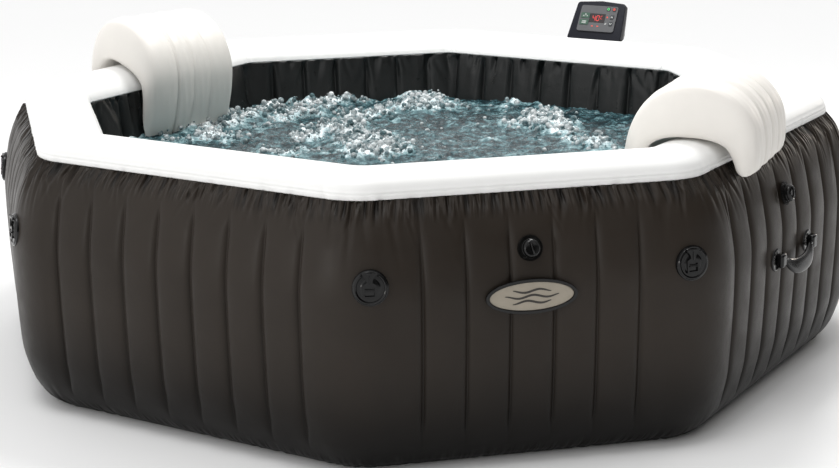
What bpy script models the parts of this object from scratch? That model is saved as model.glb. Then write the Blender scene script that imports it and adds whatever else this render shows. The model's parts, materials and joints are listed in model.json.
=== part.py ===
# Inflatable octagonal hot tub with two headrests, carry handles, cover-lock
# buckles, air valves, control panel and a floor-standing control unit.
# Metres, +Z up, origin at the centre of the ground sheet's underside.
# The tub's front side faces -Y.

import bpy
import bmesh
from math import sin, cos, tan, atan2, radians, pi, sqrt
from mathutils import Vector, Matrix

# ---------------------------------------------------------------- dimensions
A_MAIN = 1.0844          # apothem of the seam plane, front/back/left/right sides
A_DIAG = 1.0626          # apothem of the seam plane, the four diagonal sides
SEAM_PITCH = 0.0995      # distance between welded vertical seams
SEAMS_MAIN = 6           # seams on a front/back/left/right side
SEAMS_DIAG = 8           # seams on a diagonal side
Z_RIM = 0.620            # height of the weld between wall and rim
SKIN = 0.004             # thickness the skins are modelled at
GAP = 0.0003             # clearance between touching pieces
BASE_INSET = 0.0773      # how far the wall's foot stands in from the seam plane

RIM_TOP = 0.677
FLOOR_TOP = 0.0165

LOCK_Z = 0.445           # cover-lock stations
LOCK_TURN = 8.5          # degrees round the corner arc from the main side
LOCK_R = 0.0385

HANDLE_Z = 0.360
HANDLE_HALF = 0.105      # half the distance between handle anchors

PIPE_Z = 0.1063          # water pipes between tub and control unit
PIPE_T = 0.130
PIPE_R = 0.0250
AIR_Z = 0.360            # air pipe
AIR_R = 0.0190

UNIT_D0, UNIT_D1 = 1.105, 1.485     # control unit, radial extent on the BR side
UNIT_W = 0.250                       # half width of the control unit
UNIT_H = 0.500                       # height of casing plus lid
PANEL_TILT = 30.0                    # degrees the control panel leans back

SIDES = ("R", "BR", "B", "BL", "L", "FL", "F", "FR")
ANG = {"R": 0, "BR": 45, "B": 90, "BL": 135, "L": 180, "FL": 225, "F": 270, "FR": 315}

# ---------------------------------------------------------------- clean start
for ob in list(bpy.data.objects):
    bpy.data.objects.remove(ob, do_unlink=True)
for co in list(bpy.data.collections):
    bpy.data.collections.remove(co)

parts = bpy.data.collections.new("inflatable_hot_tub")
cutters = bpy.data.collections.new("cutters")
bpy.context.scene.collection.children.link(parts)
bpy.context.scene.collection.children.link(cutters)

MATS = {}


def material(name, color, rough=0.5, metal=0.0, emit=None):
    if name in MATS:
        return MATS[name]
    m = bpy.data.materials.new(name)
    m.use_nodes = True
    b = m.node_tree.nodes["Principled BSDF"]
    b.inputs["Base Color"].default_value = (*color, 1.0)
    b.inputs["Roughness"].default_value = rough
    b.inputs["Metallic"].default_value = metal
    if emit:
        b.inputs["Emission Color"].default_value = (*emit, 1.0)
        b.inputs["Emission Strength"].default_value = 1.0
    m.diffuse_color = (*color, 1.0)
    MATS[name] = m
    return m


def wall_vinyl(): return material("wall_vinyl", (0.040, 0.035, 0.031), 0.5)
def liner_vinyl(): return material("liner_vinyl", (0.018, 0.022, 0.025), 0.45)
def rim_vinyl(): return material("rim_vinyl", (0.86, 0.86, 0.85), 0.4)
def cream_vinyl(): return material("cream_vinyl", (0.76, 0.74, 0.70), 0.45)
def black_plastic(): return material("black_plastic", (0.018, 0.018, 0.018), 0.3)
def grey_plastic(): return material("grey_plastic", (0.20, 0.20, 0.20), 0.5)
def navy_plastic(): return material("navy_plastic", (0.035, 0.040, 0.060), 0.4)
def steel(): return material("steel", (0.6, 0.6, 0.6), 0.3, 1.0)
def champagne(): return material("champagne", (0.42, 0.38, 0.31), 0.35, 0.6)
def dark_glass(): return material("dark_glass", (0.03, 0.006, 0.006), 0.1)
def web_fabric(): return material("web_fabric", (0.55, 0.55, 0.55), 0.8)


# ---------------------------------------------------------------- helpers
def finish_object(name, mesh, mat, matrix=None, smooth=30.0, collection=None):
    ob = bpy.data.objects.new(name, mesh)
    (collection or parts).objects.link(ob)
    if mat is not None:
        mesh.materials.append(mat)
    if matrix is not None:
        ob.matrix_world = matrix
    if smooth:
        mesh.shade_smooth()
        mesh.set_sharp_from_angle(angle=radians(smooth))
    return ob


def from_bmesh(name, bm, mat, matrix=None, smooth=30.0, collection=None, recalc=True):
    if recalc:
        bmesh.ops.recalc_face_normals(bm, faces=bm.faces)
    me = bpy.data.meshes.new(name)
    bm.to_mesh(me)
    bm.free()
    return finish_object(name, me, mat, matrix, smooth, collection)


def n_of(side):
    a = radians(ANG[side])
    return Vector((cos(a), sin(a), 0.0))


def t_of(side):
    a = radians(ANG[side])
    return Vector((-sin(a), cos(a), 0.0))


def apothem(side):
    return A_MAIN if side in ("F", "B", "L", "R") else A_DIAG


def corner_radius(inset):
    """Plan radius of the octagon's corners, tighter towards the inside."""
    if inset <= 0.05:
        return 0.20 - 1.1 * inset
    if inset <= 0.235:
        return 0.145 - 0.5 * (inset - 0.05)
    return 0.0525


def seams(side):
    n = SEAMS_MAIN if side in ("F", "B", "L", "R") else SEAMS_DIAG
    return [(i - (n - 1) / 2.0) * SEAM_PITCH for i in range(n)]


def half_side(side, inset):
    a = apothem(side) - inset
    other = (A_DIAG if side in ("F", "B", "L", "R") else A_MAIN) - inset
    return other * sqrt(2.0) - a


def plan_loop(inset, z, bulge=0.0, with_seams=True, with_mids=True, arc=2, radius=None):
    """One closed octagonal loop, counter-clockwise seen from above. Panels
    stand out by `bulge` between the seams, which stay on the seam plane."""
    r = corner_radius(inset) if radius is None else radius
    pts = []
    for side in SIDES:
        n, t = n_of(side), t_of(side)
        a = apothem(side) - inset
        if with_seams:
            s = seams(side)
            for i, p in enumerate(s):
                pts.append(n * a + t * p)
                if with_mids and i < len(s) - 1:
                    pts.append(n * (a + bulge) + t * (p + SEAM_PITCH / 2.0))
        reach = half_side(side, inset) - r * tan(radians(22.5))
        centre = n * (a - r) + t * reach
        for k in range(arc + 1):
            ang = radians(ANG[side] + 45.0 * k / arc)
            pts.append(centre + Vector((cos(ang), sin(ang), 0.0)) * (r + bulge))
    return [Vector((p.x, p.y, z)) for p in pts]


def ring_body(name, loops, mat, smooth=30.0):
    """Closed ring lofted through loops that run once round its section."""
    bm = bmesh.new()
    rows = [[bm.verts.new(p) for p in loop] for loop in loops]
    m = len(rows[0])
    for i in range(len(rows)):
        a, b = rows[i], rows[(i + 1) % len(rows)]
        for j in range(m):
            k = (j + 1) % m
            bm.faces.new((a[j], a[k], b[k], b[j]))
    return from_bmesh(name, bm, mat, smooth=smooth, recalc=False)


def slab_body(name, loop_low, loop_high, mat):
    """Flat plate between two loops of equal count."""
    bm = bmesh.new()
    lo = [bm.verts.new(p) for p in loop_low]
    hi = [bm.verts.new(p) for p in loop_high]
    bm.faces.new(lo)
    bm.faces.new(hi)
    m = len(lo)
    for j in range(m):
        k = (j + 1) % m
        bm.faces.new((lo[j], lo[k], hi[k], hi[j]))
    return from_bmesh(name, bm, mat)


def offset_profile(prof, d):
    """Offset an open profile of (inset, z) points to its inner side by d."""
    out = []
    for i, (x, z) in enumerate(prof):
        x0, z0 = prof[max(i - 1, 0)]
        x1, z1 = prof[min(i + 1, len(prof) - 1)]
        tx, tz = x1 - x0, z1 - z0
        ln = sqrt(tx * tx + tz * tz)
        out.append((x + tz / ln * d, z - tx / ln * d))
    return out


def frame_on(side, t, z, out, tilt=0.0, turn=0.0, centre=None):
    """Matrix with local Z pointing out of a side, local Y up, local X to the
    viewer's right. tilt leans local Z upwards, turn swings it round +Z."""
    ang = radians(ANG[side] + turn)
    n = Vector((cos(ang), sin(ang), 0.0))
    tt = Vector((-sin(ang), cos(ang), 0.0))
    zz = (n * cos(radians(tilt)) + Vector((0, 0, 1)) * sin(radians(tilt))).normalized()
    xx = tt
    yy = zz.cross(xx)
    if centre is None:
        base = n_of(side) * out + t_of(side) * t
    else:
        base = centre + n * out
    m = Matrix((xx, yy, zz)).transposed().to_4x4()
    m.translation = Vector((base.x, base.y, z))
    return m


def turned(name, prof, mat, matrix, steps=16, closed=False, smooth=30.0):
    """Profile of (r, z) turned round local Z with a Screw modifier."""
    me = bpy.data.meshes.new(name)
    verts = [(r, 0.0, z) for r, z in prof]
    edges = [(i, i + 1) for i in range(len(prof) - 1)]
    if closed:
        edges.append((len(prof) - 1, 0))
    me.from_pydata(verts, edges, [])
    ob = finish_object(name, me, mat, matrix, smooth=None)
    mod = ob.modifiers.new("turn", "SCREW")
    mod.axis = "Z"
    mod.angle = 2 * pi
    mod.steps = steps
    mod.render_steps = steps
    mod.use_merge_vertices = True
    mod.merge_threshold = 0.00005
    mod.use_smooth_shade = True
    return ob


def outline_mesh(name, outlines, thick):
    """Flat outline, with holes, as a filled 2D curve extruded from 0 to thick."""
    cu = bpy.data.curves.new(name, "CURVE")
    cu.dimensions = "2D"
    cu.fill_mode = "BOTH"
    cu.extrude = thick / 2.0
    for pts in outlines:
        sp = cu.splines.new("POLY")
        sp.points.add(len(pts) - 1)
        for i, (x, y) in enumerate(pts):
            sp.points[i].co = (x, y, 0.0, 1.0)
        sp.use_cyclic_u = True
    ob = bpy.data.objects.new(name + "_outline", cu)
    cutters.objects.link(ob)
    dg = bpy.context.evaluated_depsgraph_get()
    me = bpy.data.meshes.new_from_object(ob.evaluated_get(dg))
    bpy.data.objects.remove(ob, do_unlink=True)
    bm = bmesh.new()
    bm.from_mesh(me)
    bmesh.ops.remove_doubles(bm, verts=bm.verts, dist=0.00002)
    bmesh.ops.translate(bm, verts=bm.verts, vec=(0, 0, thick / 2.0))
    bmesh.ops.recalc_face_normals(bm, faces=bm.faces)
    bm.to_mesh(me)
    bm.free()
    me.materials.clear()
    me.name = name
    return me


def plate(name, outlines, thick, mat, matrix, smooth=30.0):
    return finish_object(name, outline_mesh(name, outlines, thick), mat, matrix, smooth)


def tube(name, pts, radius, mat, matrix=None, res=2):
    """Round bar along a smooth line: a POLY curve with bevel depth and caps."""
    cu = bpy.data.curves.new(name, "CURVE")
    cu.dimensions = "3D"
    cu.bevel_depth = radius
    cu.bevel_resolution = res
    cu.use_fill_caps = True
    sp = cu.splines.new("POLY")
    sp.points.add(len(pts) - 1)
    for i, p in enumerate(pts):
        sp.points[i].co = (*p, 1.0)
    ob = bpy.data.objects.new(name, cu)
    parts.objects.link(ob)
    if mat is not None:
        cu.materials.append(mat)
    if matrix is not None:
        ob.matrix_world = matrix
    return ob


def box(name, size, mat, matrix, bevel=0.0, segs=1):
    bm = bmesh.new()
    bmesh.ops.create_cube(bm, size=1.0)
    bmesh.ops.scale(bm, verts=bm.verts, vec=size)
    ob = from_bmesh(name, bm, mat, matrix)
    if bevel:
        b = ob.modifiers.new("edge", "BEVEL")
        b.width = bevel
        b.segments = segs
    return ob


def ellipse(a, b, n, cx=0.0, cy=0.0):
    return [(cx + a * cos(2 * pi * i / n), cy + b * sin(2 * pi * i / n)) for i in range(n)]


def round_rect(w, h, r, n=3, cx=0.0, cy=0.0):
    """Counter-clockwise rounded rectangle of half sizes w and h."""
    pts = []
    for qx, qy, a0 in ((1, 1, 0), (-1, 1, 90), (-1, -1, 180), (1, -1, 270)):
        for k in range(n + 1):
            a = radians(a0 + 90.0 * k / n)
            pts.append((cx + qx * (w - r) + r * cos(a), cy + qy * (h - r) + r * sin(a)))
    return pts


# ---------------------------------------------------------------- tub skins
# outer wall: (z, inset of the seams, panel bulge)
OUT_ROWS = [(0.0, BASE_INSET, 0.0), (0.020, 0.0520, 0.003), (0.070, 0.0260, 0.009),
            (0.160, 0.0080, 0.013), (0.400, 0.0010, 0.014), (0.510, 0.0145, 0.011),
            (0.585, 0.0370, 0.005), (Z_RIM - GAP, 0.0605, 0.0)]
outer = [plan_loop(i, z, b) for z, i, b in OUT_ROWS]
inner = [plan_loop(i + SKIN, z, b) for z, i, b in reversed([OUT_ROWS[k] for k in (0, 2, 3, 4, 5, 7)])]
outer_wall = ring_body("outer_wall", outer + inner, wall_vinyl())

# inner wall: tub side then chamber side
IN_TUB = [(0.0045, 0.2620), (0.10, 0.2680), (0.30, 0.2700), (0.45, 0.2620), (0.55, 0.2480), (Z_RIM - GAP, 0.2350)]
IN_CH = [(0.0045, 0.2580), (0.30, 0.2655), (0.45, 0.2575), (Z_RIM - GAP, 0.2310)]
ic = [plan_loop(i, z, 0.0, with_mids=False, radius=0.024) for z, i in IN_CH]
il = [plan_loop(i, z, 0.0, with_mids=False, radius=0.020) for z, i in reversed(IN_TUB)]
inner_wall = ring_body("inner_wall", ic + il, liner_vinyl())

# rim: rounded crown from the outer weld to the inner weld
RIM_PROF = [(0.0610, 0.6200), (0.0600, 0.6340), (0.0660, 0.6500), (0.0790, 0.6630), (0.1000, 0.6725),
            (0.1280, RIM_TOP), (0.1600, 0.6755), (0.1900, 0.6670), (0.2140, 0.6520), (0.2290, 0.6350),
            (0.2350, 0.6200)]
rim_in = offset_profile(RIM_PROF, SKIN)
rim_in = [rim_in[k] for k in (0, 2, 4, 6, 8, 10)]
rim_in[0] = (0.0650, 0.6200)
rim_in[-1] = (0.2310, 0.6200)


def rim_radius(inset):
    return 0.1395 - 0.55 * (inset - 0.06)


rl = [plan_loop(i, z, 0.0, with_seams=False, arc=3, radius=rim_radius(i)) for i, z in RIM_PROF]
rr = [plan_loop(i, z, 0.0, with_seams=False, arc=3, radius=rim_radius(i)) for i, z in reversed(rim_in)]
top_rim = ring_body("top_rim", rl + rr, rim_vinyl())

# ground sheet and padded floor
gi = BASE_INSET + SKIN + 0.0005
slab_body("ground_sheet", plan_loop(gi, 0.0, with_seams=False), plan_loop(gi, 0.004, with_seams=False), wall_vinyl())
slab_body("tub_floor", plan_loop(0.2660, 0.0045, with_seams=False, radius=0.024),
          plan_loop(0.2660, FLOOR_TOP, with_seams=False, radius=0.024), liner_vinyl())

# internal web: one folded band that ties every outer seam to the liner
WEB_ROWS = [(0.100, 0.0250, 0.2485), (0.500, 0.0250, 0.2485)]
WEB_SHIFT = 0.0118


def web_loop(z, out_inset, in_inset):
    pts = []
    for side in SIDES:
        n, t = n_of(side), t_of(side)
        a = apothem(side)
        s = seams(side)
        for i, p in enumerate(s):
            pts.append(n * (a - out_inset) + t * p)
            if i < len(s) - 1:
                pts.append(n * (a - in_inset) + t * (p + SEAM_PITCH / 2.0))
    return [Vector((p.x, p.y, z)) for p in pts]


wo = [web_loop(z, o, i - WEB_SHIFT) for z, o, i in WEB_ROWS]
wi = [web_loop(z, o + WEB_SHIFT, i) for z, o, i in reversed(WEB_ROWS)]
beam_web = ring_body("beam_web", wo + wi, web_fabric(), smooth=None)

# holes for the three pipes to the control unit
bm = bmesh.new()
for t, z, r in ((-PIPE_T, PIPE_Z, PIPE_R), (PIPE_T, PIPE_Z, PIPE_R), (0.02, AIR_Z, AIR_R)):
    m = frame_on("BR", t, z, 0.92)
    bmesh.ops.create_cone(bm, cap_ends=True, segments=16, radius1=r + 0.002, radius2=r + 0.002, depth=0.36, matrix=m)
pipe_holes = from_bmesh("pipe_holes", bm, None, collection=cutters)
pipe_holes.hide_render = True
pipe_holes.display_type = "WIRE"
for ob in (outer_wall, inner_wall, beam_web):
    mod = ob.modifiers.new("pipe_holes", "BOOLEAN")
    mod.operation = "DIFFERENCE"
    mod.solver = "EXACT"
    mod.object = pipe_holes

# ---------------------------------------------------------------- badge
M = frame_on("F", -0.0085, 0.4015, A_MAIN + 0.0150)
plate("badge_bezel", [ellipse(0.1045, 0.0395, 40), ellipse(0.0965, 0.0325, 40)], 0.0070, black_plastic(), M)
plate("badge_plate", [ellipse(0.0960, 0.0320, 40)], 0.0045, champagne(), M)

# ---------------------------------------------------------------- air valves
# seat: flanged cup welded to the wall, cap: domed screw cap that closes it
SEAT = [(0.0, 0.0030), (0.0150, 0.0030), (0.0160, 0.0100), (0.0180, 0.0110), (0.0200, 0.0100), (0.0215, 0.0030),
        (0.0275, 0.0020), (0.0285, 0.0), (0.0, 0.0)]
CAP = [(0.0, 0.0220), (0.0050, 0.0218), (0.0060, 0.0175), (0.0130, 0.0165), (0.0190, 0.0150), (0.0208, 0.0120),
       (0.0208, 0.0114), (0.0145, 0.0114), (0.0140, 0.0050), (0.0, 0.0050)]
for who, side, tt, zz in (("front", "F", -0.008, 0.506), ("right", "FR", -0.029, 0.507)):
    M = frame_on(side, tt, zz, apothem(side) + 0.0005, tilt=13.0)
    turned(who + "_valve_seat", SEAT, black_plastic(), M, steps=20)
    turned(who + "_valve_cap", CAP, black_plastic(), M, steps=20)

# drain near the foot of the back wall
DRAIN = [(0.0, 0.0040), (0.0130, 0.0040), (0.0130, 0.0200), (0.0160, 0.0200), (0.0160, 0.0050), (0.0270, 0.0030),
         (0.0280, 0.0), (0.0, 0.0)]
DCAP = [(0.0, 0.0270), (0.0190, 0.0270), (0.0200, 0.0260), (0.0200, 0.0080), (0.0168, 0.0080), (0.0168, 0.0210),
        (0.0, 0.0210)]
M = frame_on("B", 0.0, 0.090, A_MAIN - 0.0045, tilt=-12.0)
turned("drain_outlet", DRAIN, black_plastic(), M)
turned("drain_cap", DCAP, black_plastic(), M)

# ---------------------------------------------------------------- cover locks
# patch: welded disc with two ears; buckle: slotted plate that hangs from a pin
# line between the ears
PATCH = [(0.0, 0.0050), (0.0200, 0.0050), (0.0215, 0.0035), (0.0350, 0.0030), (LOCK_R, 0.0), (0.0, 0.0)]
BUCKLE = [(-0.0075, -0.0050), (-0.0075, 0.0020), (-0.0165, 0.0120), (-0.0165, 0.0150),
          (0.0165, 0.0150), (0.0165, 0.0120), (0.0075, 0.0020), (0.0075, -0.0050),
          (0.0150, -0.0100), (0.0150, -0.0400), (-0.0150, -0.0400), (-0.0150, -0.0100)]
BUCKLE = list(reversed(BUCKLE))
SLOT_A = [(-0.0105, -0.0200), (0.0105, -0.0200), (0.0105, -0.0160), (-0.0105, -0.0160)]
SLOT_B = [(-0.0105, -0.0350), (0.0105, -0.0350), (0.0105, -0.0250), (-0.0105, -0.0250)]


def lock_frame(side, sgn, out):
    inset = 0.0050
    r = corner_radius(inset)
    reach = half_side(side, inset) - r * tan(radians(22.5))
    centre = n_of(side) * (apothem(side) - inset - r) + t_of(side) * (sgn * reach)
    return frame_on(side, 0.0, LOCK_Z, r + out, tilt=5.0, turn=sgn * LOCK_TURN, centre=centre)


LOCKS = [("F", -1), ("F", 1), ("R", -1), ("R", 1), ("B", -1), ("B", 1), ("L", -1), ("L", 1)]
for i, (side, sgn) in enumerate(LOCKS):
    M = lock_frame(side, sgn, 0.0155)
    turned("lock_patch_%d" % (i + 1), PATCH, black_plastic(), M, steps=20)
    P = M @ Matrix.Translation((-0.002, 0.018, 0.0056))
    plate("lock_buckle_%d" % (i + 1), [BUCKLE, SLOT_A, SLOT_B], 0.0028, black_plastic(), P)

# ---------------------------------------------------------------- carry handles
GRIP = [(-0.0885, 0.0, 0.0)]
for k in range(13):
    u = -1.0 + 2.0 * k / 12.0
    x = 0.0790 * u
    drop = 0.045 * (1.0 - abs(u) ** 3.0)
    out = 0.014 * (1.0 - abs(u) ** 2.5)
    GRIP.append((x, -drop, out))
GRIP.append((0.0885, 0.0, 0.0))
for who, side in (("right", "FR"), ("left", "BL")):
    off = apothem(side) + 0.0150
    for end, s in (("a", -1), ("b", 1)):
        M = frame_on(side, s * HANDLE_HALF, HANDLE_Z, off + 0.0110)
        box("%s_handle_anchor_%s" % (who, end), (0.0300, 0.0360, 0.0210), black_plastic(), M, bevel=0.005, segs=2)
    tube("%s_handle_grip" % who, GRIP, 0.0068, black_plastic(), frame_on(side, 0.0, HANDLE_Z, off + 0.0130))

# ---------------------------------------------------------------- headrests
# section in (offset from the rim's middle, outward positive; height), an arch
# that straddles the rim, thick over the crown and thin at the outer tip
# section of liner, rim and wall top on a diagonal side, as (distance from the
# tub's middle, height), that the headrests stay clear of
RIM_SECTION = [(0.7925, 0.400), (0.8020, 0.500), (0.8080, 0.560), (0.8200, 0.605), (0.8276, 0.622), (0.8336, 0.635),
               (0.8486, 0.652), (0.8726, 0.667), (0.9026, 0.6755), (0.9346, 0.677), (0.9626, 0.6725),
               (0.9836, 0.663), (0.9966, 0.650), (1.0026, 0.634), (1.0035, 0.620), (1.0163, 0.603), (1.0306, 0.585)]
HR_CLEAR = 0.0050
HR_EYE = (0.915, 0.600)  # points are pushed away from here


def hr_push(d, z):
    """A headrest point pushed out of the rim's section, along a ray, and level where it is beside the liner."""
    if z < 0.560 and d < HR_EYE[0]:
        return min(d, 0.8080 - 0.105 * (0.560 - z) - HR_CLEAR), z
    x, y = d - HR_EYE[0], z - HR_EYE[1]
    r, a = sqrt(x * x + y * y), atan2(x, y)
    ring = [(atan2(p - HR_EYE[0], q - HR_EYE[1]), sqrt((p - HR_EYE[0]) ** 2 + (q - HR_EYE[1]) ** 2))
            for p, q in RIM_SECTION]
    if not ring[0][0] < a < ring[-1][0]:
        return d, z
    k = [i for i, v in enumerate(ring) if v[0] <= a][-1]
    f = (a - ring[k][0]) / (ring[k + 1][0] - ring[k][0])
    need = ring[k][1] + f * (ring[k + 1][1] - ring[k][1]) + HR_CLEAR
    if r >= need:
        return d, z
    return HR_EYE[0] + x * need / r, HR_EYE[1] + y * need / r


HR_SEC = [(0.138, 0.603), (0.150, 0.612), (0.159, 0.638), (0.162, 0.675), (0.155, 0.715), (0.135, 0.755), (0.100, 0.788),
          (0.050, 0.808), (-0.005, 0.812), (-0.060, 0.797), (-0.105, 0.765), (-0.138, 0.715), (-0.155, 0.650),
          (-0.162, 0.580), (-0.160, 0.520), (-0.150, 0.489), (-0.136, 0.485), (-0.126, 0.492), (-0.120, 0.560),
          (-0.103, 0.636), (-0.085, 0.666), (-0.045, 0.682), (0.010, 0.6845), (0.055, 0.680), (0.085, 0.668),
          (0.100, 0.650), (0.116, 0.624), (0.127, 0.607)]
HR_PIVOT = 0.650         # height that a headrest is rolled about
# name, side, distance of its middle, ends along the side, yaw and roll in degrees, lift
HEADRESTS = (("left_headrest", "BL", 0.862, -0.150, 0.163, -14.0, 18.0, 0.002),
             ("right_headrest", "FR", 0.908, -0.335, 0.010, 8.5, 0.0, 0.0))
for name, side, mid, t0, t1, yaw, roll, lift in HEADRESTS:
    n, t = n_of(side), t_of(side)
    ca, sa = cos(radians(yaw)), sin(radians(yaw))
    cr, sr = cos(radians(roll)), sin(radians(roll))
    length = t1 - t0
    cmid = n * mid + t * ((t0 + t1) / 2.0)
    tt = t * ca - n * sa
    nn = n * ca + t * sa
    bm = bmesh.new()
    rows = []
    for f in [k / 6.0 - 0.5 for k in range(7)]:
        row = []
        for i, (o, z) in enumerate(HR_SEC):
            o, z = o * cr - (z - HR_PIVOT) * sr, o * sr + (z - HR_PIVOT) * cr + HR_PIVOT + lift
            p = cmid + tt * (f * length) + nn * o
            d, z = hr_push(p.dot(n), z)
            p += n * (d - p.dot(n))
            row.append(bm.verts.new((p.x, p.y, z)))
        rows.append(row)
    m = len(HR_SEC)
    for a, b in zip(rows[:-1], rows[1:]):
        for j in range(m):
            k = (j + 1) % m
            bm.faces.new((a[j], a[k], b[k], b[j]))
    bm.faces.new(rows[0])
    bm.faces.new(rows[-1])
    from_bmesh(name, bm, cream_vinyl())

# ---------------------------------------------------------------- control unit
U = frame_on("BR", 0.0, 0.0, (UNIT_D0 + UNIT_D1) / 2.0)
# local X runs round the tub, local Z points away from it, local Y is up;
# turn it so that local Z is up for plates cut in plan
UP = Matrix.Translation(U.translation) @ Matrix.Rotation(radians(45.0), 4, "Z")
# in UP, local X points away from the tub and local Y runs round it
HX = (UNIT_D1 - UNIT_D0) / 2.0


def up(z):
    return UP @ Matrix.Translation((0, 0, z))


plate("unit_base", [round_rect(HX - 0.004, UNIT_W - 0.004, 0.040)], 0.0500, black_plastic(), up(0.0))
plate("unit_casing", [round_rect(HX, UNIT_W, 0.045), list(reversed(round_rect(HX - 0.005, UNIT_W - 0.005, 0.040)))],
      UNIT_H - 0.0300 - 0.0506, grey_plastic(), up(0.0503))
# lid: a shallow cover with a raised middle, closed below by its own rim
lid_mesh = plate("unit_lid", [round_rect(HX + 0.006, UNIT_W + 0.006, 0.050)], 0.0300, navy_plastic(),
                 up(UNIT_H - 0.0297))
# openings in the casing for the pipes
bm = bmesh.new()
for t, z, r in ((-PIPE_T, PIPE_Z, PIPE_R), (PIPE_T, PIPE_Z, PIPE_R), (0.02, AIR_Z, AIR_R)):
    bmesh.ops.create_cone(bm, cap_ends=True, segments=16, radius1=r + 0.002, radius2=r + 0.002, depth=0.06,
                          matrix=frame_on("BR", t, z, UNIT_D0))
bmesh.ops.create_cone(bm, cap_ends=True, segments=16, radius1=0.0105, radius2=0.0105, depth=0.06,
                      matrix=frame_on("BR", -0.150, 0.110, UNIT_D1))
unit_holes = from_bmesh("unit_holes", bm, None, collection=cutters)
unit_holes.hide_render = True
unit_holes.display_type = "WIRE"
mod = bpy.data.objects["unit_casing"].modifiers.new("pipe_holes", "BOOLEAN")
mod.operation = "DIFFERENCE"
mod.solver = "EXACT"
mod.object = unit_holes

# pipes: flanged strainer end inside the tub, plain end inside the casing
IN_D = 0.792                     # distance of the liner from the middle, at pipe height
PIPE_L = UNIT_D0 + 0.035 - IN_D
for name, t, z, r in (("suction_pipe", -PIPE_T, PIPE_Z, PIPE_R), ("return_pipe", PIPE_T, PIPE_Z, PIPE_R),
                      ("air_pipe", 0.02, AIR_Z, AIR_R)):
    M = frame_on("BR", t, z, IN_D)
    prof = [(r - 0.004, PIPE_L), (r, PIPE_L), (r, 0.0), (r + 0.016, 0.0), (r + 0.014, -0.008), (r - 0.002, -0.014),
            (r - 0.004, -0.012)]
    turned(name, prof, black_plastic(), M, steps=16, closed=True)

# circulation pump: motor and volute in one casting, open at the suction eye
M = frame_on("BR", -PIPE_T - 0.002, PIPE_Z, UNIT_D0 + 0.0715)
PUMP = [(0.0, 0.0), (0.0500, 0.0), (0.0500, -0.036), (0.0560, -0.036), (0.0560, 0.008), (0.0440, 0.014),
        (0.0440, 0.150), (0.0340, 0.160), (0.0, 0.160)]
PUMP = [(r, -z) for r, z in PUMP]
PM = M @ Matrix.Rotation(pi, 4, "X")
turned("pump_housing", PUMP, black_plastic(), PM, steps=20)


def rotor(name, hub, tip, blades, thick, width, mat, matrix):
    pts = []
    for b in range(blades):
        a = 2 * pi * b / blades
        da = 2 * pi / blades
        w_in = width / hub / 2.0
        w_out = width / tip / 2.0
        sweep = 0.45
        pts += [(hub * cos(a - w_in), hub * sin(a - w_in)), (tip * cos(a + sweep - w_out), tip * sin(a + sweep - w_out)),
                (tip * cos(a + sweep + w_out), tip * sin(a + sweep + w_out)), (hub * cos(a + w_in), hub * sin(a + w_in))]
    return plate(name, [pts], thick, mat, matrix)


rotor("pump_impeller", 0.018, 0.044, 6, 0.022, 0.005, grey_plastic(), PM @ Matrix.Translation((0, 0, 0.006)))

# heater: stainless tube on the return side
M = frame_on("BR", PIPE_T, PIPE_Z, UNIT_D0 + 0.020)
HEAT = [(0.0256, 0.280), (0.0320, 0.280), (0.0320, 0.0), (0.0256, 0.0)]
turned("heater_tube", HEAT, steel(), M, steps=16, closed=True)

# air blower: drum on a foot that stands on the unit's base
M = up(0.240) @ Matrix.Translation((0.040, 0.010, 0.0))
BLOW = [(0.0, 0.0080), (0.0720, 0.0080), (0.0720, 0.0900), (0.0780, 0.0900), (0.0780, 0.0), (0.0300, -0.0150),
        (0.0300, -0.1893), (0.0, -0.1893)]
turned("blower_housing", BLOW, black_plastic(), M, steps=20)
rotor("blower_fan", 0.022, 0.066, 8, 0.030, 0.005, grey_plastic(), M @ Matrix.Translation((0, 0, 0.020)))

# gland where a supply cord would enter
M = frame_on("BR", -0.150, 0.110, UNIT_D1)
GLAND = [(0.0050, 0.0300), (0.0085, 0.0300), (0.0120, 0.0120), (0.0170, 0.0110), (0.0170, 0.0010), (0.0095, 0.0010),
         (0.0095, -0.0120), (0.0050, -0.0120)]
turned("cord_gland", GLAND, black_plastic(), M, steps=16, closed=True)

# ---------------------------------------------------------------- control panel
NECK_D = 1.129
NECK_TOP = 0.640
box("panel_neck", (0.034, 0.088, NECK_TOP - UNIT_H - GAP - 0.0006), navy_plastic(),
    Matrix.Translation(n_of("BR") * NECK_D + Vector((0, 0, (NECK_TOP + UNIT_H + 0.0003) / 2.0)))
    @ Matrix.Rotation(radians(45.0), 4, "Z"), bevel=0.003)

# panel frame: local Z out of the fascia (towards the tub and up), Y up the face
nb, tb = n_of("BR"), t_of("BR")
pz = (-nb * cos(radians(PANEL_TILT)) + Vector((0, 0, 1)) * sin(radians(PANEL_TILT)))
px = -tb
py = pz.cross(px)
FOOT = nb * 1.090 + Vector((0, 0, 0.6480))        # middle of the face's lower edge
PH = 0.1300
PANEL = Matrix((px, py, pz)).transposed().to_4x4()
PANEL.translation = FOOT + py * (PH / 2.0)

bm = bmesh.new()
rows = []
for x_low, x_top, dy in ((-0.0930, -0.0840, 0.0), (0.0, 0.0, 0.0055), (0.0930, 0.0840, 0.0)):
    sec = [(x_low, -PH / 2.0, 0.0), (x_top, PH / 2.0 + dy, 0.0), (x_top, PH / 2.0 + dy - 0.004, -0.0200),
           (x_low * 0.97, -PH / 2.0 + 0.050, -0.0600), (x_low * 0.97, -PH / 2.0 + 0.0173, -0.0440)]
    rows.append([bm.verts.new(PANEL @ Vector(p)) for p in sec])
for a, b in zip(rows[:-1], rows[1:]):
    for j in range(5):
        k = (j + 1) % 5
        bm.faces.new((a[j], a[k], b[k], b[j]))
bm.faces.new(rows[0])
bm.faces.new(rows[-1])
from_bmesh("panel_shell", bm, navy_plastic())

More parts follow.
